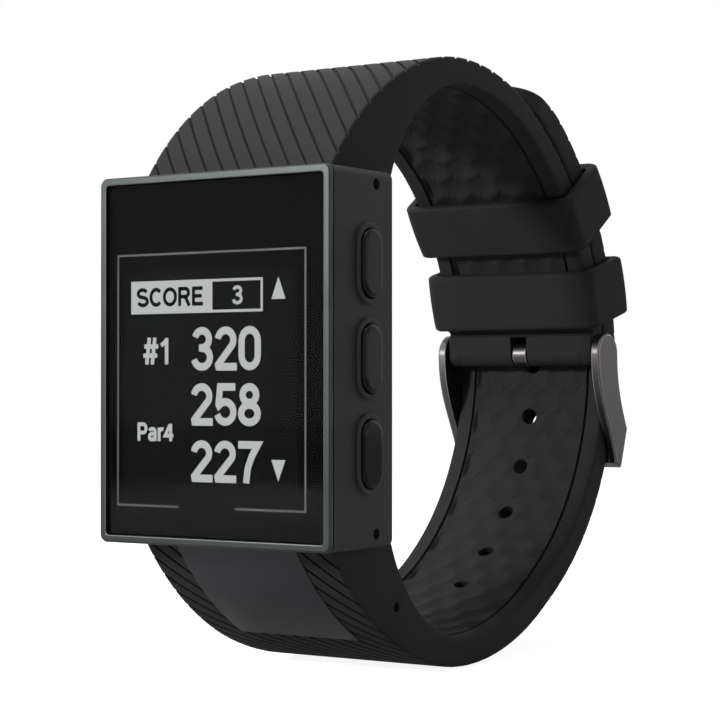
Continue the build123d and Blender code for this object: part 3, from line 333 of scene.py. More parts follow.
lit, tree, where = new_material("lit_display_segments")
dots = add(tree, "ShaderNodeTexNoise", {"Scale": 7000.0, "Detail": 2.0}, {"Vector": where})
tone = add(tree, "ShaderNodeMix", {6: linear("#b9bbba"), 7: linear("#c6c8c7")}, {0: dots.outputs["Fac"]},
           data_type="RGBA")
shader = add(tree, "ShaderNodeBsdfPrincipled",
             {"Base Color": linear("#101010"), "Roughness": 0.6, "Specular IOR Level": 0.0,
              "Emission Strength": 0.95},
             {"Emission Color": tone.outputs[2]})
add(tree, "ShaderNodeOutputMaterial", {}, {"Surface": shader.outputs[0]})

grey_ink, tree, where = new_material("screen_printed_grey_ink")
mesh_marks = add(tree, "ShaderNodeTexNoise", {"Scale": 5200.0, "Detail": 2.0}, {"Vector": where})
tone = add(tree, "ShaderNodeMix", {6: linear("#5a5c5b"), 7: linear("#646665")}, {0: mesh_marks.outputs["Fac"]},
           data_type="RGBA")
shader = add(tree, "ShaderNodeBsdfPrincipled", {"Roughness": 0.6}, {"Base Color": tone.outputs[2]})
add(tree, "ShaderNodeOutputMaterial", {}, {"Surface": shader.outputs[0]})


def bow(cx, cy, rx, ry, start, stop, steps=16):
    """Points of an elliptical stroke between two angles."""
    return [(cx + rx * cos(radians(start + (stop - start) * i / steps)),
             cy + ry * sin(radians(start + (stop - start) * i / steps))) for i in range(steps + 1)]


# Strokes of a plain bold sans-serif, one unit high: each glyph's width and centre lines.
STROKES = {
    "0": (0.58, [bow(0.29, 0.66, 0.195, 0.25, 0, 180) + bow(0.29, 0.34, 0.195, 0.25, 180, 360) + [(0.485, 0.66)]]),
    "1": (0.50, [[(0.33, 0.0), (0.33, 0.98)], [(0.33, 0.88), (0.10, 0.70)]]),
    "2": (0.58, [bow(0.285, 0.69, 0.19, 0.22, 172, -28) + [(0.10, 0.13), (0.11, 0.085), (0.56, 0.085)]]),
    "3": (0.58, [bow(0.28, 0.715, 0.175, 0.195, 165, -90) + bow(0.28, 0.30, 0.20, 0.215, 90, -168)]),
    "4": (0.58, [[(0.41, 0.0), (0.41, 0.95)], [(0.37, 0.90), (0.08, 0.30), (0.57, 0.30)]]),
    "5": (0.58, [[(0.53, 0.91), (0.16, 0.91), (0.12, 0.50)] + bow(0.285, 0.325, 0.20, 0.235, 140, -165)]),
    "7": (0.58, [[(0.03, 0.91), (0.50, 0.91), (0.35, 0.62), (0.26, 0.35), (0.22, 0.0)]]),
    "8": (0.58, [bow(0.29, 0.725, 0.165, 0.185, 0, 360), bow(0.29, 0.29, 0.20, 0.205, 0, 360)]),
    "#": (0.66, [[(0.16, 0.0), (0.27, 1.0)], [(0.39, 0.0), (0.50, 1.0)], [(0.02, 0.33), (0.60, 0.33)],
                 [(0.06, 0.67), (0.64, 0.67)]]),
    "S": (0.66, [bow(0.32, 0.71, 0.225, 0.20, 20, 270) + bow(0.34, 0.29, 0.235, 0.205, 88, -165)]),
    "C": (0.70, [bow(0.37, 0.50, 0.27, 0.41, 42, 318, 24)]),
    "O": (0.76, [bow(0.38, 0.50, 0.285, 0.41, 0, 360, 28)]),
    "R": (0.70, [[(0.12, 0.0), (0.12, 1.0)], [(0.12, 0.91), (0.40, 0.91)] + bow(0.40, 0.70, 0.17, 0.21, 90, -90)
                 + [(0.12, 0.49)], [(0.40, 0.50), (0.61, 0.0)]]),
    "E": (0.62, [[(0.12, 0.0), (0.12, 1.0)], [(0.12, 0.91), (0.58, 0.91)], [(0.12, 0.51), (0.54, 0.51)],
                 [(0.12, 0.09), (0.60, 0.09)]]),
    "P": (0.66, [[(0.12, 0.0), (0.12, 1.0)], [(0.12, 0.91), (0.38, 0.91)] + bow(0.38, 0.68, 0.17, 0.23, 90, -90)
                 + [(0.12, 0.45)]]),
    "a": (0.56, [bow(0.27, 0.52, 0.17, 0.15, 165, 0, 10) + [(0.44, 0.0)],
                 [(0.44, 0.42), (0.30, 0.41)] + bow(0.24, 0.23, 0.145, 0.155, 95, 300, 12) + [(0.44, 0.24)]]),
    "r": (0.40, [[(0.12, 0.0), (0.12, 0.74)], bow(0.32, 0.42, 0.20, 0.24, 175, 72, 8)]),
}


def lettering(name, words, left, right, low, high, weight, material=None, layer=2):
    """Bold characters that fill a box of the front, in millimetres: each stroke is a flat ribbon."""
    advance, lines, corners, faces = 0.0, [], [], []
    for letter in words:
        wide, strokes = STROKES[letter]
        lines += [np.array(points) + (advance, 0) for points in strokes]
        advance += wide
    first_x = min(line[:, 0].min() for line in lines)
    last_x = max(line[:, 0].max() for line in lines)
    for line in lines:
        line[:, 0] = left + weight / 2 + (line[:, 0] - first_x) * (right - left - weight) / (last_x - first_x)
        line[:, 1] = low + line[:, 1] * (high - low)
        closed = np.hypot(*(line[0] - line[-1])) < 1e-6
        line = line[:-1] if closed else line
        line = line[np.append(True, np.hypot(*np.diff(line, axis=0).T) > 1e-6)]
        ahead = np.roll(line, -1, 0) - line
        if not closed:
            ahead[-1] = ahead[-2]
        ahead = ahead / np.maximum(np.hypot(*ahead.T), 1e-9)[:, None]
        behind = np.roll(ahead, 1, 0)
        if not closed:
            behind[0] = ahead[0]
        bisector = ahead + behind
        bisector /= np.maximum(np.hypot(*bisector.T), 1e-9)[:, None]
        mitre = weight / 2 / np.maximum((bisector * ahead).sum(1), 0.45)
        side = np.stack([-bisector[:, 1], bisector[:, 0]], 1) * mitre[:, None]
        n, first = len(line), len(corners)
        corners += [tuple(c) for c in np.concatenate([line + side, line - side])]
        faces += [(first + i, first + n + i, first + n + (i + 1) % n, first + (i + 1) % n)
                  for i in range(n if closed else n - 1)]
    flat_piece(name, corners, faces, material, layer)


def flat_piece(name, points, faces, material, layer):
    """Faces of the front, one print's thickness deep, behind the glass on a numbered layer."""
    deselect()
    bpy.ops.mesh.primitive_plane_add(size=1.0)
    piece = bpy.context.object
    piece.data.clear_geometry()
    piece.data.from_pydata([(x, y, 0) for x, y in points], [], faces)
    bpy.ops.object.mode_set(mode="EDIT")
    bpy.ops.mesh.select_all(action="SELECT")
    bpy.ops.mesh.extrude_region_move(TRANSFORM_OT_translate={"value": (0, 0, THICK / MM)})
    bpy.ops.mesh.select_all(action="SELECT")
    bpy.ops.mesh.normals_make_consistent(inside=False)
    bpy.ops.object.mode_set(mode="OBJECT")
    piece.name = name
    piece.data.name = name
    place = Matrix.Translation((0, mask_front - layer * THICK, 0)) @ Matrix.Rotation(pi / 2, 4, "X")
    piece.data.transform(place @ Matrix.Scale(MM, 4))
    piece.data.materials.append(material or lit)
    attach(piece, "watch")


def shape(name, points, material=None, layer=2, inside=()):
    """A flat outline of the front, with an opening if one is given."""
    n = len(points)
    faces = [(i, (i + 1) % n, n + (i + 1) % n, n + i) for i in range(n)] if inside else [tuple(range(n))]
    flat_piece(name, [*points, *inside], faces, material, layer)


def block(x0, x1, z0, z1):
    return [(x0, z0), (x1, z0), (x1, z1), (x0, z1)]


# the print keys into the glass, so its face lies just inside the lens
lens_low, lens_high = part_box("front_lens")
shape("mask_ink", block(lens_low.x / MM + INK_EDGE, lens_high.x / MM - INK_EDGE, lens_low.z / MM + INK_EDGE,
                        lens_high.z / MM - INK_EDGE), black_ink, 0)
shape("display_ground", block(-15.2, 12.7, -16.75, 11.55), polariser, 1)
BOX_LEFT, BOX_SPLIT, BOX_RIGHT, BOX_LOW, BOX_TOP, BOX_LINE = -14.25, -0.7, 7.4, 6.0, 10.3, 0.34
shape("score_panel", block(BOX_LEFT, BOX_SPLIT, BOX_LOW, BOX_TOP))
shape("score_box", block(BOX_SPLIT, BOX_RIGHT, BOX_LOW, BOX_TOP),
      inside=block(BOX_SPLIT + 0.02, BOX_RIGHT - BOX_LINE, BOX_LOW + BOX_LINE, BOX_TOP - BOX_LINE))
lettering("score_word", "SCORE", -13.3, -1.95, 6.95, 9.4, 0.50, polariser, 3)
lettering("score_value", "3", 2.5, 4.2, 6.95, 9.4, 0.42)
lettering("hole_number", "#1", -12.45, -7.95, -0.6, 2.9, 0.58)
lettering("distance_far", "320", -4.15, 7.1, -1.45, 4.2, 0.98)
lettering("distance_middle", "258", -4.15, 7.1, -8.5, -3.05, 0.98)
lettering("distance_near", "227", -4.15, 7.1, -15.75, -10.4, 0.98)
lettering("hole_par", "Par4", -13.15, -6.85, -10.6, -8.2, 0.48)
shape("arrow_up", [(8.75, 7.5), (10.95, 7.5), (9.85, 10.3)])
shape("arrow_down", [(8.75, -12.7), (9.85, -15.4), (10.95, -12.7)])

LINE, LEFT, RIGHT, TOP, LOW, BREAK = 0.26, -16.65, 14.15, 13.9, -19.2, (-6.15, 3.05)
shape("window_frame", [
    (BREAK[0], LOW), (LEFT, LOW), (LEFT, TOP), (RIGHT, TOP), (RIGHT, LOW), (BREAK[1], LOW),
    (BREAK[1], LOW + LINE), (RIGHT - LINE, LOW + LINE), (RIGHT - LINE, TOP - LINE),
    (LEFT + LINE, TOP - LINE), (LEFT + LINE, LOW + LINE), (BREAK[0], LOW + LINE)], grey_ink, 1)


# ---- Side buttons ------------------------------------------------------------------
# Three domed pills of glossy black ABS, each on a stem that presses a switch inside.
glossy_abs, tree, where = new_material("moulded_abs_gloss")
touch = add(tree, "ShaderNodeTexNoise", {"Scale": 420.0, "Detail": 5.0, "Roughness": 0.65}, {"Vector": where})
tone = add(tree, "ShaderNodeMix", {6: linear("#070708"), 7: linear("#0b0b0c")}, {0: touch.outputs["Fac"]},
           data_type="RGBA")
gloss = add(tree, "ShaderNodeMapRange", {"To Min": 0.06, "To Max": 0.15}, {"Value": touch.outputs["Fac"]})
flow = add(tree, "ShaderNodeBump", {"Strength": 0.05, "Distance": 0.00003}, {"Height": touch.outputs["Fac"]})
shader = add(tree, "ShaderNodeBsdfPrincipled", {"IOR": 1.53, "Specular IOR Level": 0.12},
             {"Base Color": tone.outputs[2], "Roughness": gloss.outputs[0], "Normal": flow.outputs[0]})
add(tree, "ShaderNodeOutputMaterial", {}, {"Surface": shader.outputs[0]})
dress(glossy_abs, "button_top", "button_middle", "button_bottom")


# ---- Straps ---------------------------------------------------------------------------
# Two straps of compression-moulded silicone rubber. The outer faces carry slanting ribs,
# and the inner faces have a groove along each edge and shallow dimples between them.
LOOP_R = 42.2                  # outer radius of the loop
UPPER_T, LOWER_T = 3.8, 4.0
TAIL_OUT_R = 46.5
TIP_T, TIP_FROM, TIP_ANGLE, TIP_CORNER, TIP_CURVE = 1.6, 52.5, 68.5, 8.0, 1.62
ROOT_R, ROOT_DEPTH, STRAP_SET, ROOT_HEEL = 22.0, 4.9, 9.2, 0.5
CASE_END = 24.0
SWING_UP, TUCK_R = 7.4, 41.0
ROOT_HALF, BUCKLE_HALF = 15.15, 13.0
TAPER_FROM, TAPER_TO = 8.0, 50.0
RIB_PITCH, RIB_SLOPE, RIB_CUT = 3.37, 1.25, 0.42   # along the strap, rise across it, depth
STRAP_EDGE = 0.45              # rounding of the strap's long edges
FACE_HALF = 12.55              # edge grooves' outer side, from the middle of the inner face
DIMPLE_PITCH, DIMPLE_ROW, DIMPLE_R, DIMPLE_DEEP = 4.8, 4.16, 2.7, 0.58
BORE_R, BORE_HALF = 0.95, 20   # clear bore for a spring bar; half of the cutter's length
UPPER_RIB, LOWER_RIB = 88.9, 1.2                   # where one rib lies along each strap

bar_low, bar_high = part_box("buckle_bar_tube")
BAR_C = ((bar_low.y + bar_high.y) / 2 / MM, (bar_low.z + bar_high.z) / 2 / MM)
case_bar_low, case_bar_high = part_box("upper_bar_tube")
CASE_BAR = ((case_bar_low.y + case_bar_high.y) / 2 / MM, (case_bar_low.z + case_bar_high.z) / 2 / MM)
pin_low, pin_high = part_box("plate_pin")
PIN_C = ((pin_low.y + pin_high.y) / 2 / MM, (pin_low.z + pin_high.z) / 2 / MM)
LOOP_Y = sqrt(LOOP_R**2 - CASE_END**2) - STRAP_SET
BAR_A = atan2(BAR_C[1], BAR_C[0] - LOOP_Y)
CASE_A = pi - np.arcsin(CASE_END / LOOP_R)


def on_arc(centre, radius, angle):
    return np.array([centre[0] + radius * np.cos(angle), centre[1] + radius * np.sin(angle)])


def upper_path(s):
    """Outer and inner points of the short strap; s runs along its outer face from the loop's rear."""
    angle = s / LOOP_R
    turned = np.clip((angle - pi / 2) / (CASE_A - pi / 2), 0, 1)
    root_c = (LOOP_Y, LOOP_R - UPPER_T - ROOT_R)
    root_end = pi - np.arcsin((CASE_END - root_c[1]) / ROOT_R)
    outer = on_arc((LOOP_Y, 0), LOOP_R, angle)
    inner = np.where(angle < pi / 2, on_arc((LOOP_Y, 0), LOOP_R - UPPER_T, angle),
                     on_arc(root_c, ROOT_R, pi / 2 + turned * (root_end - pi / 2)))
    past = np.clip((s - CASE_A * LOOP_R) / ROOT_DEPTH, 0, 1)
    heel = on_arc(root_c, ROOT_R, root_end)
    inside = angle > CASE_A
    outer = np.where(inside, np.array([-STRAP_SET + 0 * s, CASE_END - past * ROOT_DEPTH]), outer)
    heeled = np.array([heel[0] + past * (ROOT_HEEL - heel[0]), heel[1] - past * ROOT_DEPTH])
    inner = np.where(inside, heeled, inner)
    # the rear end is rounded over the buckle's bar
    lap = np.clip((BAR_A * LOOP_R - s) / (UPPER_T / 2 * pi / 2), 0, 1) * pi / 2
    out = np.array([cos(BAR_A), sin(BAR_A)])[:, None, None]
    down = np.array([sin(BAR_A), -cos(BAR_A)])[:, None, None]
    centre = np.array(BAR_C)[:, None, None]
    round_outer = centre + UPPER_T / 2 * (out * np.cos(lap) + down * np.sin(lap))
    round_inner = centre + UPPER_T / 2 * (-out * np.cos(lap) + down * np.sin(lap))
    rounding = s < BAR_A * LOOP_R
    return np.where(rounding, round_outer, outer), np.where(rounding, round_inner, inner)


SWING_R = LOOP_R + SWING_UP
SWING_OFF = SWING_R - TUCK_R
LAP_OFF = TAIL_OUT_R - TUCK_R
TUCK_FROM = np.arcsin((LAP_OFF**2 - SWING_OFF**2 - SWING_UP**2) / (2 * SWING_UP * SWING_OFF))
TUCK_C = on_arc((LOOP_Y, SWING_UP), SWING_OFF, TUCK_FROM)
TUCK_TO = atan2(TUCK_C[1], TUCK_C[0] - LOOP_Y)
# the long strap's outer face, arc by arc: centre, radius, first and last angle
ARCS = (((LOOP_Y, 0), LOOP_R, -CASE_A, -pi / 2), ((LOOP_Y, SWING_UP), SWING_R, -pi / 2, TUCK_FROM),
        (TUCK_C, TUCK_R, TUCK_FROM, TUCK_TO), ((LOOP_Y, 0), TAIL_OUT_R, TUCK_TO, radians(TIP_ANGLE)))
ARC_ENDS = np.cumsum([0] + [r * (b - a) for _, r, a, b in ARCS])
LOWER_L = float(ARC_ENDS[-1])


def lower_path(s):
    """Outer and inner points of the long strap; s runs along its outer face from the case's end."""
    outer, inner = np.zeros((2, *s.shape)), np.zeros((2, *s.shape))
    for i, (centre, radius, a, b) in enumerate(ARCS):
        here = (s >= ARC_ENDS[i]) | (i == 0)
        angle = a + (s - ARC_ENDS[i]) / radius
        outer = np.where(here, on_arc(centre, radius, angle), outer)
        inner = np.where(here, on_arc(centre, radius - LOWER_T, angle), inner)
    angle = ARCS[0][2] + s / LOOP_R
    root_c = (LOOP_Y, ROOT_R - LOOP_R + LOWER_T)
    root_end = pi - np.arcsin((CASE_END + root_c[1]) / ROOT_R)
    turned = np.clip((angle + CASE_A) / (CASE_A - pi / 2), 0, 1)
    inner = np.where(angle < -pi / 2, on_arc(root_c, ROOT_R, -root_end + turned * (root_end - pi / 2)), inner)
    past = np.clip(-s / ROOT_DEPTH, 0, 1)
    heel = on_arc(root_c, ROOT_R, -root_end)
    inside = s < 0
    outer = np.where(inside, np.array([-STRAP_SET + 0 * s, -CASE_END + past * ROOT_DEPTH]), outer)
    heeled = np.array([heel[0] + past * (ROOT_HEEL - heel[0]), heel[1] + past * ROOT_DEPTH])
    inner = np.where(inside, heeled, inner)
    # the tail thins towards its tip, from its outer face
    angle = TUCK_TO + (s - ARC_ENDS[3]) / TAIL_OUT_R
    thin = np.clip((angle - radians(TIP_FROM)) / radians(TIP_ANGLE - TIP_FROM), 0, 1) ** TIP_CURVE
    return np.where(thin > 0, on_arc((LOOP_Y, 0), TAIL_OUT_R - thin * (LOWER_T - TIP_T), angle), outer), inner


def half_width(y):
    """Half of a strap's width, by how far behind the case's back a point lies."""
    return ROOT_HALF - np.clip((y - TAPER_FROM) / (TAPER_TO - TAPER_FROM), 0, 1) * (ROOT_HALF - BUCKLE_HALF)


def ribbed_strap(name, path, first, last, phase, ribs, rounded_tip):
    """A strap rolled from one grid: rows follow the slanting ribs, columns run round the section."""
    # one rib pitch: where its rows lie and how deep each is cut
    rows = np.array([-1.685, -1.12, -0.56, -0.33, -0.18, 0.18, 0.33, 0.56, 1.12])
    cut = np.array([0, 0, 0, 0.1, 1, 1, 0.1, 0, 0]) * RIB_CUT
    lean = RIB_SLOPE * ROOT_HALF + 1.0
    ribs_at = np.arange(np.floor((first - lean - phase) / RIB_PITCH),
                        np.ceil((last + lean - phase) / RIB_PITCH) + 1)
    row_s = (phase + ribs_at[:, None] * RIB_PITCH + rows).ravel()
    row_cut = np.tile(cut, len(ribs_at))
    # the section: outer face, edge, side, edge, inner face with its two grooves, and back
    groove = np.array([FACE_HALF, 11.6, 10.52, 10.36, 10.14, 9.98]) / FACE_HALF
    slot_deep = [0, 0, 0, 0.4, 0.4, 0]
    dimpled = np.linspace(9.5, -9.5, 28) / FACE_HALF
    quarter = np.radians([22.5, 45, 67.5, 90])
    up = [(u, 0, 0, 0, 0, 0) for u in np.linspace(-1, 1, 33)]
    up += [(1, STRAP_EDGE * sin(q), 0, 1 - cos(q), 0, 0) for q in quarter]
    up += [(1, STRAP_EDGE, f, 1, 0, 0) for f in (0.25, 0.5, 0.75)]
    up += [(1, STRAP_EDGE * cos(q), 1, 1 + sin(q), 0, 0) for q in np.radians([0, 22.5, 45, 67.5])]
    inner = [(u, 0, 1, 2, d, 0) for u, d in zip(groove, slot_deep)]
    face = inner + [(u, 0, 1, 2, 0, 1) for u in dimpled] + [(-u, *rest) for u, *rest in reversed(inner)]
    across, extra, along_t, along_r, slot, dimple = np.array(
        up + face + [(-u, -e, t, r, d, m) for u, e, t, r, d, m in reversed(up[33:])] + up[:1]).T

    deselect()
    bpy.ops.mesh.primitive_grid_add(x_subdivisions=len(across) - 1, y_subdivisions=len(row_s) - 1, size=1)
    strap = bpy.context.object
    strap.name = name
    strap.data.name = name
    S = s = np.repeat(row_s[:, None], len(across), 1)
    for _ in range(3):
        s = np.clip(s, first, last)
        outer, inner_p = path(s)
        wide = half_width(outer[0])
        s = S + RIB_SLOPE * (across * (wide - STRAP_EDGE) + extra)
    s = np.clip(s, first, last)
    outer, inner_p = path(s)
    thick = np.hypot(*(outer - inner_p))
    left = last - s
    ease = np.clip(left / 0.5, 0, 1) if rounded_tip else np.ones_like(s)
    lip = 0.5 * (1 - np.sqrt(np.clip(ease * (2 - ease), 0, 1)))
    r = np.minimum(STRAP_EDGE, 0.45 * thick)
    deep = along_t * (thick - 2 * r) + along_r * r
    flat_x = across * FACE_HALF
    # dimples lie in a hexagonal lattice, each a shallow scoop
    scoop = np.zeros_like(s)
    for k in (-1, 0, 1):
        line = np.round(s / DIMPLE_ROW) + k
        shift = np.where(line % 2 == 0, 0, DIMPLE_PITCH / 2)
        near = flat_x - shift - np.round((flat_x - shift) / DIMPLE_PITCH) * DIMPLE_PITCH
        scoop = np.maximum(scoop, 1 - (near**2 + (s - line * DIMPLE_ROW) ** 2) / DIMPLE_R**2)
    calm = np.clip(s - ribs[0], 0, 1) * np.clip((last - s - 2.5) / 2.0, 0, 1)
    relief = slot * calm + dimple * DIMPLE_DEEP * np.clip(scoop, 0, 1) * calm
    ribbed = np.clip((s - ribs[0]) / 0.6, 0, 1) * np.clip((ribs[1] - s) / 0.6, 0, 1)
    carved = row_cut[:, None] * ribbed
    deep = np.where(along_t == 0, np.maximum(deep, carved * (along_r < 1)), deep)
    deep = deep - relief * r / STRAP_EDGE
    share = np.where(thick > 1e-4, deep / np.maximum(thick, 1e-4), along_t)
    share = np.clip(share, lip / np.maximum(thick, 1e-4), 1 - lip / np.maximum(thick, 1e-4))
    points = outer + (inner_p - outer) * share
    x = across * (half_width(points[0]) - STRAP_EDGE) + extra
    if rounded_tip:
        into = np.clip(left, 0, TIP_CORNER)
        x = x * (1 - (TIP_CORNER - np.sqrt(TIP_CORNER**2 - (TIP_CORNER - into) ** 2)) / BUCKLE_HALF)
    strap.data.vertices.foreach_set("co", (np.stack([x, *points], -1) * MM).ravel())
    bpy.ops.object.mode_set(mode="EDIT")
    bpy.ops.mesh.select_all(action="SELECT")
    bpy.ops.mesh.remove_doubles(threshold=2e-6)
    bpy.ops.mesh.select_all(action="DESELECT")
    bpy.ops.mesh.select_non_manifold(extend=False, use_wire=True, use_multi_face=False, use_non_contiguous=False,
                                     use_verts=False)
    bpy.ops.mesh.fill_holes(sides=0)
    bpy.ops.mesh.select_all(action="SELECT")
    bpy.ops.mesh.quads_convert_to_tris()
    bpy.ops.mesh.normals_make_consistent(inside=False)
    bpy.ops.object.mode_set(mode="OBJECT")
    return strap


def cross_pin(point, radius, half):
    """A round bar along X through a side-view point, to cut a bore with."""
    deselect()
    bpy.ops.mesh.primitive_cylinder_add(vertices=48, radius=radius * MM, depth=2 * half * MM,
                                        location=(0, point[0] * MM, point[1] * MM), rotation=(0, pi / 2, 0))
    bpy.ops.object.transform_apply()
    return bpy.context.object


def punch(centre, angle, radius, low, high, flare, long=0.0):
    """A round or slotted punch along a radius of the side view, flared where it leaves each face."""
    deselect()
    bpy.ops.mesh.primitive_cylinder_add(vertices=48, radius=radius * MM, depth=(high - low) * MM)
    tool = bpy.context.object
    bpy.ops.object.mode_set(mode="EDIT")
    for way in (-1, 1):
        bpy.ops.mesh.select_all(action="DESELECT")
        bpy.ops.object.mode_set(mode="OBJECT")
        for face in tool.data.polygons:
            face.select = face.normal.z * way > 0.9
        bpy.ops.object.mode_set(mode="EDIT")
        bpy.ops.mesh.extrude_region_move(TRANSFORM_OT_translate={"value": (0, 0, way * flare * MM)})
        wider = 1 + flare / radius
        bpy.ops.transform.resize(value=(wider, wider, 1))
        bpy.ops.mesh.extrude_region_move(TRANSFORM_OT_translate={"value": (0, 0, way * 2 * MM)})
    bpy.ops.object.mode_set(mode="OBJECT")
    for v in tool.data.vertices:
        v.co.y += (1 if v.co.y > 0 else -1) * long / 2 * MM if abs(v.co.y) > 1e-7 else 0
    middle_r = (low + high) / 2
    mid = on_arc(centre, middle_r, angle) * MM
    tool.data.transform(Matrix.Translation((0, *mid)) @ Matrix.Rotation(angle - pi / 2, 4, "X"))
    return tool


def carve(piece, tools):
    """Cuts a piece with closed tools, one after another, and removes them."""
    for tool in tools:
        cut = piece.modifiers.new("cut", "BOOLEAN")
        cut.operation = "DIFFERENCE"
        cut.solver = "MANIFOLD"
        cut.object = tool
        deselect()
        bpy.context.view_layer.objects.active = piece
        piece.select_set(True)
        bpy.ops.object.modifier_apply(modifier=cut.name)
        bpy.data.objects.remove(tool)


def smooth(piece, angle):
    deselect()
    piece.select_set(True)
    bpy.context.view_layer.objects.active = piece
    bpy.ops.object.shade_smooth_by_angle(angle=radians(angle))


# Silicone rubber: matte and slightly dusty, pressed in a vapour-blasted mould that leaves
# grains of about 0.1 mm. Its face takes light broadly, with a soft sheen at low angles.
silicone, tree, where = new_material("moulded_silicone_rubber")
blasted = add(tree, "ShaderNodeTexNoise", {"Scale": 9500.0, "Detail": 2.0}, {"Vector": where})
handled = add(tree, "ShaderNodeTexNoise", {"Scale": 240.0, "Detail": 5.0, "Roughness": 0.6}, {"Vector": where})
tone = add(tree, "ShaderNodeMix", {6: linear("#282828"), 7: linear("#2e2e2e")}, {0: handled.outputs["Fac"]},
           data_type="RGBA")
gloss = add(tree, "ShaderNodeMapRange", {"To Min": 0.52, "To Max": 0.66}, {"Value": handled.outputs["Fac"]})
skin = add(tree, "ShaderNodeBump", {"Strength": 0.2, "Distance": 0.00003}, {"Height": blasted.outputs["Fac"]})
shader = add(tree, "ShaderNodeBsdfPrincipled", {"IOR": 1.43, "Specular IOR Level": 0.05},
             {"Base Color": tone.outputs[2], "Roughness": gloss.outputs[0], "Normal": skin.outputs[0]})
add(tree, "ShaderNodeOutputMaterial", {}, {"Surface": shader.outputs[0]})

upper_end = CASE_A * LOOP_R + ROOT_DEPTH
upper = ribbed_strap("upper_strap_rubber", upper_path, BAR_A * LOOP_R - UPPER_T / 2 * pi / 2, upper_end, UPPER_RIB,
                     (BAR_A * LOOP_R + 3.5, CASE_A * LOOP_R + 1.5), False)
deselect()
bpy.ops.mesh.primitive_cube_add(size=1)
notch = bpy.context.object
NOTCH_HALF, NOTCH_TOP, CUTTER = 1.45, 2.75, 16
notch.data.transform(Matrix.Translation((0, BAR_C[0] * MM, (BAR_C[1] + NOTCH_TOP - CUTTER / 2) * MM))
                     @ Matrix.Diagonal((2 * NOTCH_HALF * MM, CUTTER * MM, CUTTER * MM, 1)))
# a crease across the inner face parts the rounded end from the rest of the strap
CREASE_UP, CREASE_R, CREASE_IN = 3.2, 0.5, 0.3
crease_a = np.arcsin((BAR_C[1] + CREASE_UP) / (LOOP_R - UPPER_T))
crease = cross_pin(on_arc((LOOP_Y, 0), LOOP_R - UPPER_T + CREASE_IN, crease_a), CREASE_R, BORE_HALF)
carve(upper, [cross_pin(CASE_BAR, BORE_R, BORE_HALF), cross_pin(BAR_C, BORE_R, BORE_HALF), notch, crease])

lower = ribbed_strap("lower_strap_rubber", lower_path, -ROOT_DEPTH, LOWER_L, LOWER_RIB,
                     (-1.5, LOWER_L - 9.0), True)
HOLE_R, HOLE_PITCH, HOLE_FIRST, HOLES = 1.2, 8.25, -13.9, 5
SLOT_W, SLOT_L, SLOT_ANGLE = 2.9, 3.9, -0.2
inner_r = TUCK_R - LOWER_T
step = HOLE_PITCH / inner_r
FLARE = 0.1
tools = [punch(TUCK_C, radians(HOLE_FIRST) - i * step, HOLE_R, inner_r + 0.5, TUCK_R - 0.2, FLARE)
         for i in range(HOLES)]
tools.append(punch(TUCK_C, radians(SLOT_ANGLE), SLOT_W / 2, inner_r + 0.3, TUCK_R - 0.2, FLARE, SLOT_L - SLOT_W))
tools.append(cross_pin((CASE_BAR[0], -CASE_BAR[1]), BORE_R, BORE_HALF))
carve(lower, tools)
for strap, node in ((upper, "upper_strap"), (lower, "lower_strap")):
    strap.data.materials.clear()
    strap.data.materials.append(silicone)
    smooth(strap, 32)
    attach(strap, "watch")
    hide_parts(node)


# ---- Plate -----------------------------------------------------------------------------
# A curved plate let into the long strap below the case, stamped from stainless steel and
# coated dark grey, with a lug that a cross pin holds in the rubber.
coated, tree, where = new_material("vapour_coated_steel")
stretch = add(tree, "ShaderNodeMapping", {"Scale": (1.0, 14.0, 14.0)}, {"Vector": where})
brushed = add(tree, "ShaderNodeTexNoise", {"Scale": 900.0, "Detail": 4.0}, {"Vector": stretch.outputs[0]})
coat = add(tree, "ShaderNodeTexNoise", {"Scale": 150.0, "Detail": 3.0}, {"Vector": where})
tone = add(tree, "ShaderNodeMix", {6: linear("#303134"), 7: linear("#3a3b3e")}, {0: coat.outputs["Fac"]},
           data_type="RGBA")
gloss = add(tree, "ShaderNodeMapRange", {"To Min": 0.42, "To Max": 0.54}, {"Value": brushed.outputs["Fac"]})
round_edge = add(tree, "ShaderNodeBevel", {"Radius": 0.0002}, samples=6)
lines = add(tree, "ShaderNodeBump", {"Strength": 0.08, "Distance": 0.00002},
            {"Height": brushed.outputs["Fac"], "Normal": round_edge.outputs[0]})
shader = add(tree, "ShaderNodeBsdfPrincipled", {"Metallic": 0.85},
             {"Base Color": tone.outputs[2], "Roughness": gloss.outputs[0], "Normal": lines.outputs[0]})
add(tree, "ShaderNodeOutputMaterial", {}, {"Surface": shader.outputs[0]})
dress(coated, "strap_plate")


def pocket(low, high, first, last, half):
    """A curved block that follows the loop, to sink the plate's seat with."""
    deselect()
    bpy.ops.mesh.primitive_cube_add(size=1)
    tool = bpy.context.object
    bpy.ops.object.mode_set(mode="EDIT")
    bpy.ops.mesh.select_all(action="SELECT")
    bpy.ops.mesh.subdivide(number_cuts=39)
    bpy.ops.object.mode_set(mode="OBJECT")
    for v in tool.data.vertices:
        radius = low + (v.co.z + 0.5) * (high - low)
        angle = radians(first + (v.co.y + 0.5) * (last - first))
        y, z = on_arc((LOOP_Y, 0), radius, angle)
        v.co = Vector((v.co.x * 2 * half, y, z)) * MM
    bpy.ops.object.mode_set(mode="EDIT")
    bpy.ops.mesh.select_all(action="SELECT")
    bpy.ops.mesh.normals_make_consistent(inside=False)
    bpy.ops.object.mode_set(mode="OBJECT")
    return tool


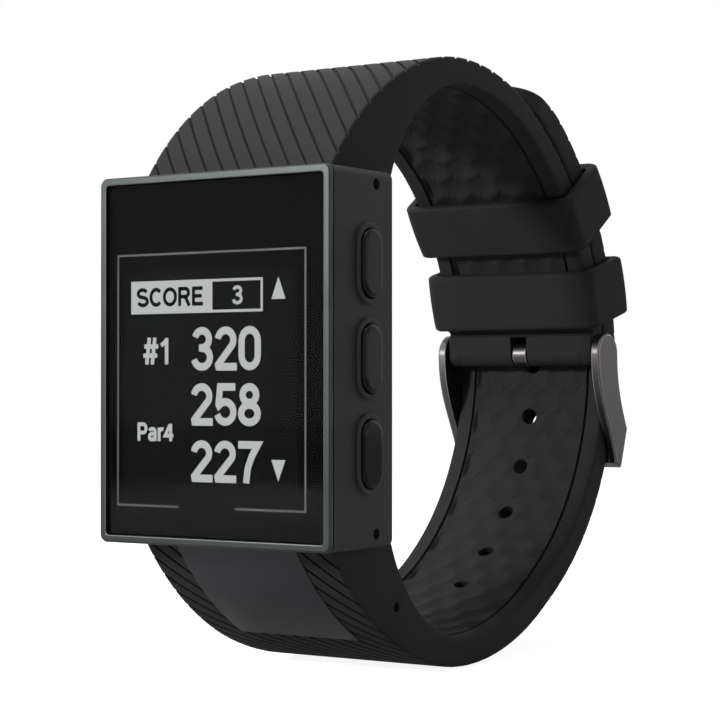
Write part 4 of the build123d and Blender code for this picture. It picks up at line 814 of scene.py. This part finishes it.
PLATE_IN, PLATE_END, PLATE_HALF = 41.35, -118.73, 9.75    # seat's radius, its far angle, half width
LUG_R, LUG_W, PIN_BORE_R, NECK_AT, NECK_H = 1.25, 6.1, 0.65, 39.8, 3.8
deselect()
bpy.ops.mesh.primitive_cylinder_add(vertices=32, radius=LUG_R * MM, depth=LUG_W * MM,
                                    location=(0, PIN_C[0] * MM, PIN_C[1] * MM), rotation=(0, pi / 2, 0))
bpy.ops.object.transform_apply()
lug_end = bpy.context.object
pin_a = atan2(PIN_C[1], PIN_C[0] - LOOP_Y)
deselect()
bpy.ops.mesh.primitive_cube_add(size=1)
lug_neck = bpy.context.object
neck_at = on_arc((LOOP_Y, 0), NECK_AT, pin_a) * MM
lug_neck.data.transform(Matrix.Translation((0, *neck_at)) @ Matrix.Rotation(pin_a - pi / 2, 4, "X")
                        @ Matrix.Diagonal((LUG_W * MM, 2 * LUG_R * MM, NECK_H * MM, 1)))
carve(lower, [pocket(PLATE_IN, LOOP_R + 2, -degrees(CASE_A) - 4, PLATE_END, PLATE_HALF), lug_end, lug_neck,
              cross_pin(PIN_C, PIN_BORE_R, BORE_HALF)])
smooth(lower, 32)


# ---- Spring bars and buckle ---------------------------------------------------------------
# Stainless steel: drawn tubes and tips for the bars, and a stamped buckle whose flat
# faces are brushed lengthwise and whose edges are painted bright, a painted highlight.
drawn, tree, where = new_material("drawn_stainless_steel")
along = add(tree, "ShaderNodeMapping", {"Scale": (0.06, 1.0, 1.0)}, {"Vector": where})
draw_lines = add(tree, "ShaderNodeTexNoise", {"Scale": 9000.0, "Detail": 3.0}, {"Vector": along.outputs[0]})
tone = add(tree, "ShaderNodeMix", {6: linear("#9a9b9c"), 7: linear("#b9babb")}, {0: draw_lines.outputs["Fac"]},
           data_type="RGBA")
gloss = add(tree, "ShaderNodeMapRange", {"To Min": 0.2, "To Max": 0.34}, {"Value": draw_lines.outputs["Fac"]})
scores = add(tree, "ShaderNodeBump", {"Strength": 0.12, "Distance": 0.00002},
             {"Height": draw_lines.outputs["Fac"]})
shader = add(tree, "ShaderNodeBsdfPrincipled", {"Metallic": 1.0},
             {"Base Color": tone.outputs[2], "Roughness": gloss.outputs[0], "Normal": scores.outputs[0]})
add(tree, "ShaderNodeOutputMaterial", {}, {"Surface": shader.outputs[0]})
dress(drawn, "plate_pin", *[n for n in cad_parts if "_bar_t" in n])

brushed_steel, tree, where = new_material("brushed_stainless_steel")
along = add(tree, "ShaderNodeMapping", {"Scale": (14.0, 14.0, 1.0)}, {"Vector": where})
grit = add(tree, "ShaderNodeTexNoise", {"Scale": 620.0, "Detail": 5.0, "Roughness": 0.6},
           {"Vector": along.outputs[0]})
rounded, turn = edge_turn(tree, 0.00025, 8)
# painted highlight: the buckle's rounded edges are coloured bright steel against the dark faces
painted_edge_glint = add(tree, "ShaderNodeMapRange", {"From Min": 0.99, "From Max": 0.85}, {"Value": turn})
face_tone = add(tree, "ShaderNodeMix", {6: linear("#4e4b4b"), 7: linear("#595656")}, {0: grit.outputs["Fac"]},
                data_type="RGBA")
tone = add(tree, "ShaderNodeMix", {7: linear("#c4c4c4")}, {0: painted_edge_glint.outputs[0], 6: face_tone.outputs[2]},
           data_type="RGBA")
gloss = add(tree, "ShaderNodeMapRange", {"To Min": 0.3, "To Max": 0.44}, {"Value": grit.outputs["Fac"]})
scores = add(tree, "ShaderNodeBump", {"Strength": 0.12, "Distance": 0.00002},
             {"Height": grit.outputs["Fac"], "Normal": rounded})
shader = add(tree, "ShaderNodeBsdfPrincipled", {"Metallic": 1.0},
             {"Base Color": tone.outputs[2], "Roughness": gloss.outputs[0], "Normal": scores.outputs[0]})
add(tree, "ShaderNodeOutputMaterial", {}, {"Surface": shader.outputs[0]})
dress(brushed_steel, "buckle_frame", "buckle_tongue")


# ---- Keepers ------------------------------------------------------------------------------
# Two moulded bands of the straps' rubber, thicker outside than inside, with soft edges
# and a slight crown. One is bonded by the buckle, and the other slides along the straps.
KEEPER_L, KEEPER_HOLE_W, SIDE_T = 9.0, 26.7, 1.5
KEEPER_IN = sqrt((LOOP_R - UPPER_T - 0.35) ** 2 - (KEEPER_L / 2) ** 2)
KEEPER_OUT = TAIL_OUT_R + 0.35
IN_T, OUT_T, CROWN = 1.5, 1.9, 0.16
FREE_AT, FIXED_AT = 34.3, 15.3                     # the keepers' angles on the loop, in degrees


def band_ring(half_w, low, high, corner, per_corner=8, per_side=10):
    """Points round a rounded rectangle, in X and radius, the same count for any size."""
    points = []
    for k, (sx, top) in enumerate(((1, 1), (-1, 1), (-1, 0), (1, 0))):
        cx = sx * (half_w - corner)
        cr = high - corner if top else low + corner
        turn_from = k * pi / 2
        points += [(cx + corner * cos(turn_from + i / per_corner * pi / 2),
                    cr + corner * sin(turn_from + i / per_corner * pi / 2)) for i in range(per_corner + 1)]
        nx = -sx if k % 2 == 0 else sx
        if k % 2 == 0:
            end = (nx * (half_w - corner), high if top else low)
        else:
            end = (sx * half_w, low + corner if top else high - corner)
        if k == 3:
            end = (half_w, high - corner)
        start = points[-1]
        points += [(start[0] + (end[0] - start[0]) * i / per_side, start[1] + (end[1] - start[1]) * i / per_side)
                   for i in range(1, per_side)]
    return np.array(points)


def band(name, node, angle, body):
    """One keeper: a ring whose section is a rounded bar, turned to its place on the loop."""
    outer = band_ring(KEEPER_HOLE_W / 2 + SIDE_T, KEEPER_IN - IN_T, KEEPER_OUT + OUT_T, 2.0)
    inner = band_ring(KEEPER_HOLE_W / 2, KEEPER_IN, KEEPER_OUT, 0.5)
    # the section, from the outer face over one end, along the inner face and back
    half, edge = KEEPER_L / 2, 0.6
    section = [(t, 0.0) for t in np.linspace(-(half - edge), half - edge, 13)]
    section += [(half - edge + edge * sin(q), edge * (1 - cos(q))) for q in np.radians([22.5, 45, 67.5, 90])]
    low_edge = 0.35
    section += [(half - low_edge * (1 - cos(q)), -low_edge * (1 - sin(q))) for q in np.radians([0, 30, 60, 90])]
    section += [(t, -0.0001) for t in np.linspace(half - low_edge - 0.6, -(half - low_edge - 0.6), 9)]
    section += [(-(half - low_edge * (1 - cos(q))), -low_edge * (1 - sin(q))) for q in np.radians([90, 60, 30, 0])]
    section += [(-(half - edge + edge * sin(q)), edge * (1 - cos(q))) for q in np.radians([90, 67.5, 45, 22.5])]
    deselect()
    bpy.ops.mesh.primitive_torus_add(major_segments=len(outer), minor_segments=len(section))
    piece = bpy.context.object
    piece.name = name
    piece.data.name = name
    wall = np.hypot(*(outer - inner).T)
    points = []
    for i in range(len(outer)):
        for t, d in section:
            # positive depths are below the outer face; negative ones are above the inner face
            share = d / wall[i] if d >= 0 else 1 + d / wall[i]
            crown = CROWN * (1 - (t / half) ** 2) if d == 0 else 0.0
            x, radius = outer[i] + (inner[i] - outer[i]) * (share - crown / wall[i])
            points.append((x, t, radius))
    flat = np.array(points)
    flat[:, 0] = np.clip(flat[:, 0], -(KEEPER_HOLE_W / 2 + SIDE_T), KEEPER_HOLE_W / 2 + SIDE_T)
    flat[:, 2] = np.clip(flat[:, 2], KEEPER_IN - IN_T, KEEPER_OUT + OUT_T)
    turn_a = radians(angle)
    y = LOOP_Y + flat[:, 2] * cos(turn_a) - flat[:, 1] * sin(turn_a)
    z = flat[:, 2] * sin(turn_a) + flat[:, 1] * cos(turn_a)
    piece.data.vertices.foreach_set("co", (np.stack([flat[:, 0], y, z], -1) * MM).ravel())
    bpy.ops.object.mode_set(mode="EDIT")
    bpy.ops.mesh.select_all(action="SELECT")
    bpy.ops.mesh.normals_make_consistent(inside=False)
    bpy.ops.object.mode_set(mode="OBJECT")
    piece.data.materials.append(silicone)
    smooth(piece, 40)
    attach(piece, body)
    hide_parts(node)


band("free_keeper_band", "free_keeper", FREE_AT, "sliding_keeper")
band("fixed_keeper_band", "fixed_keeper", FIXED_AT, "watch")
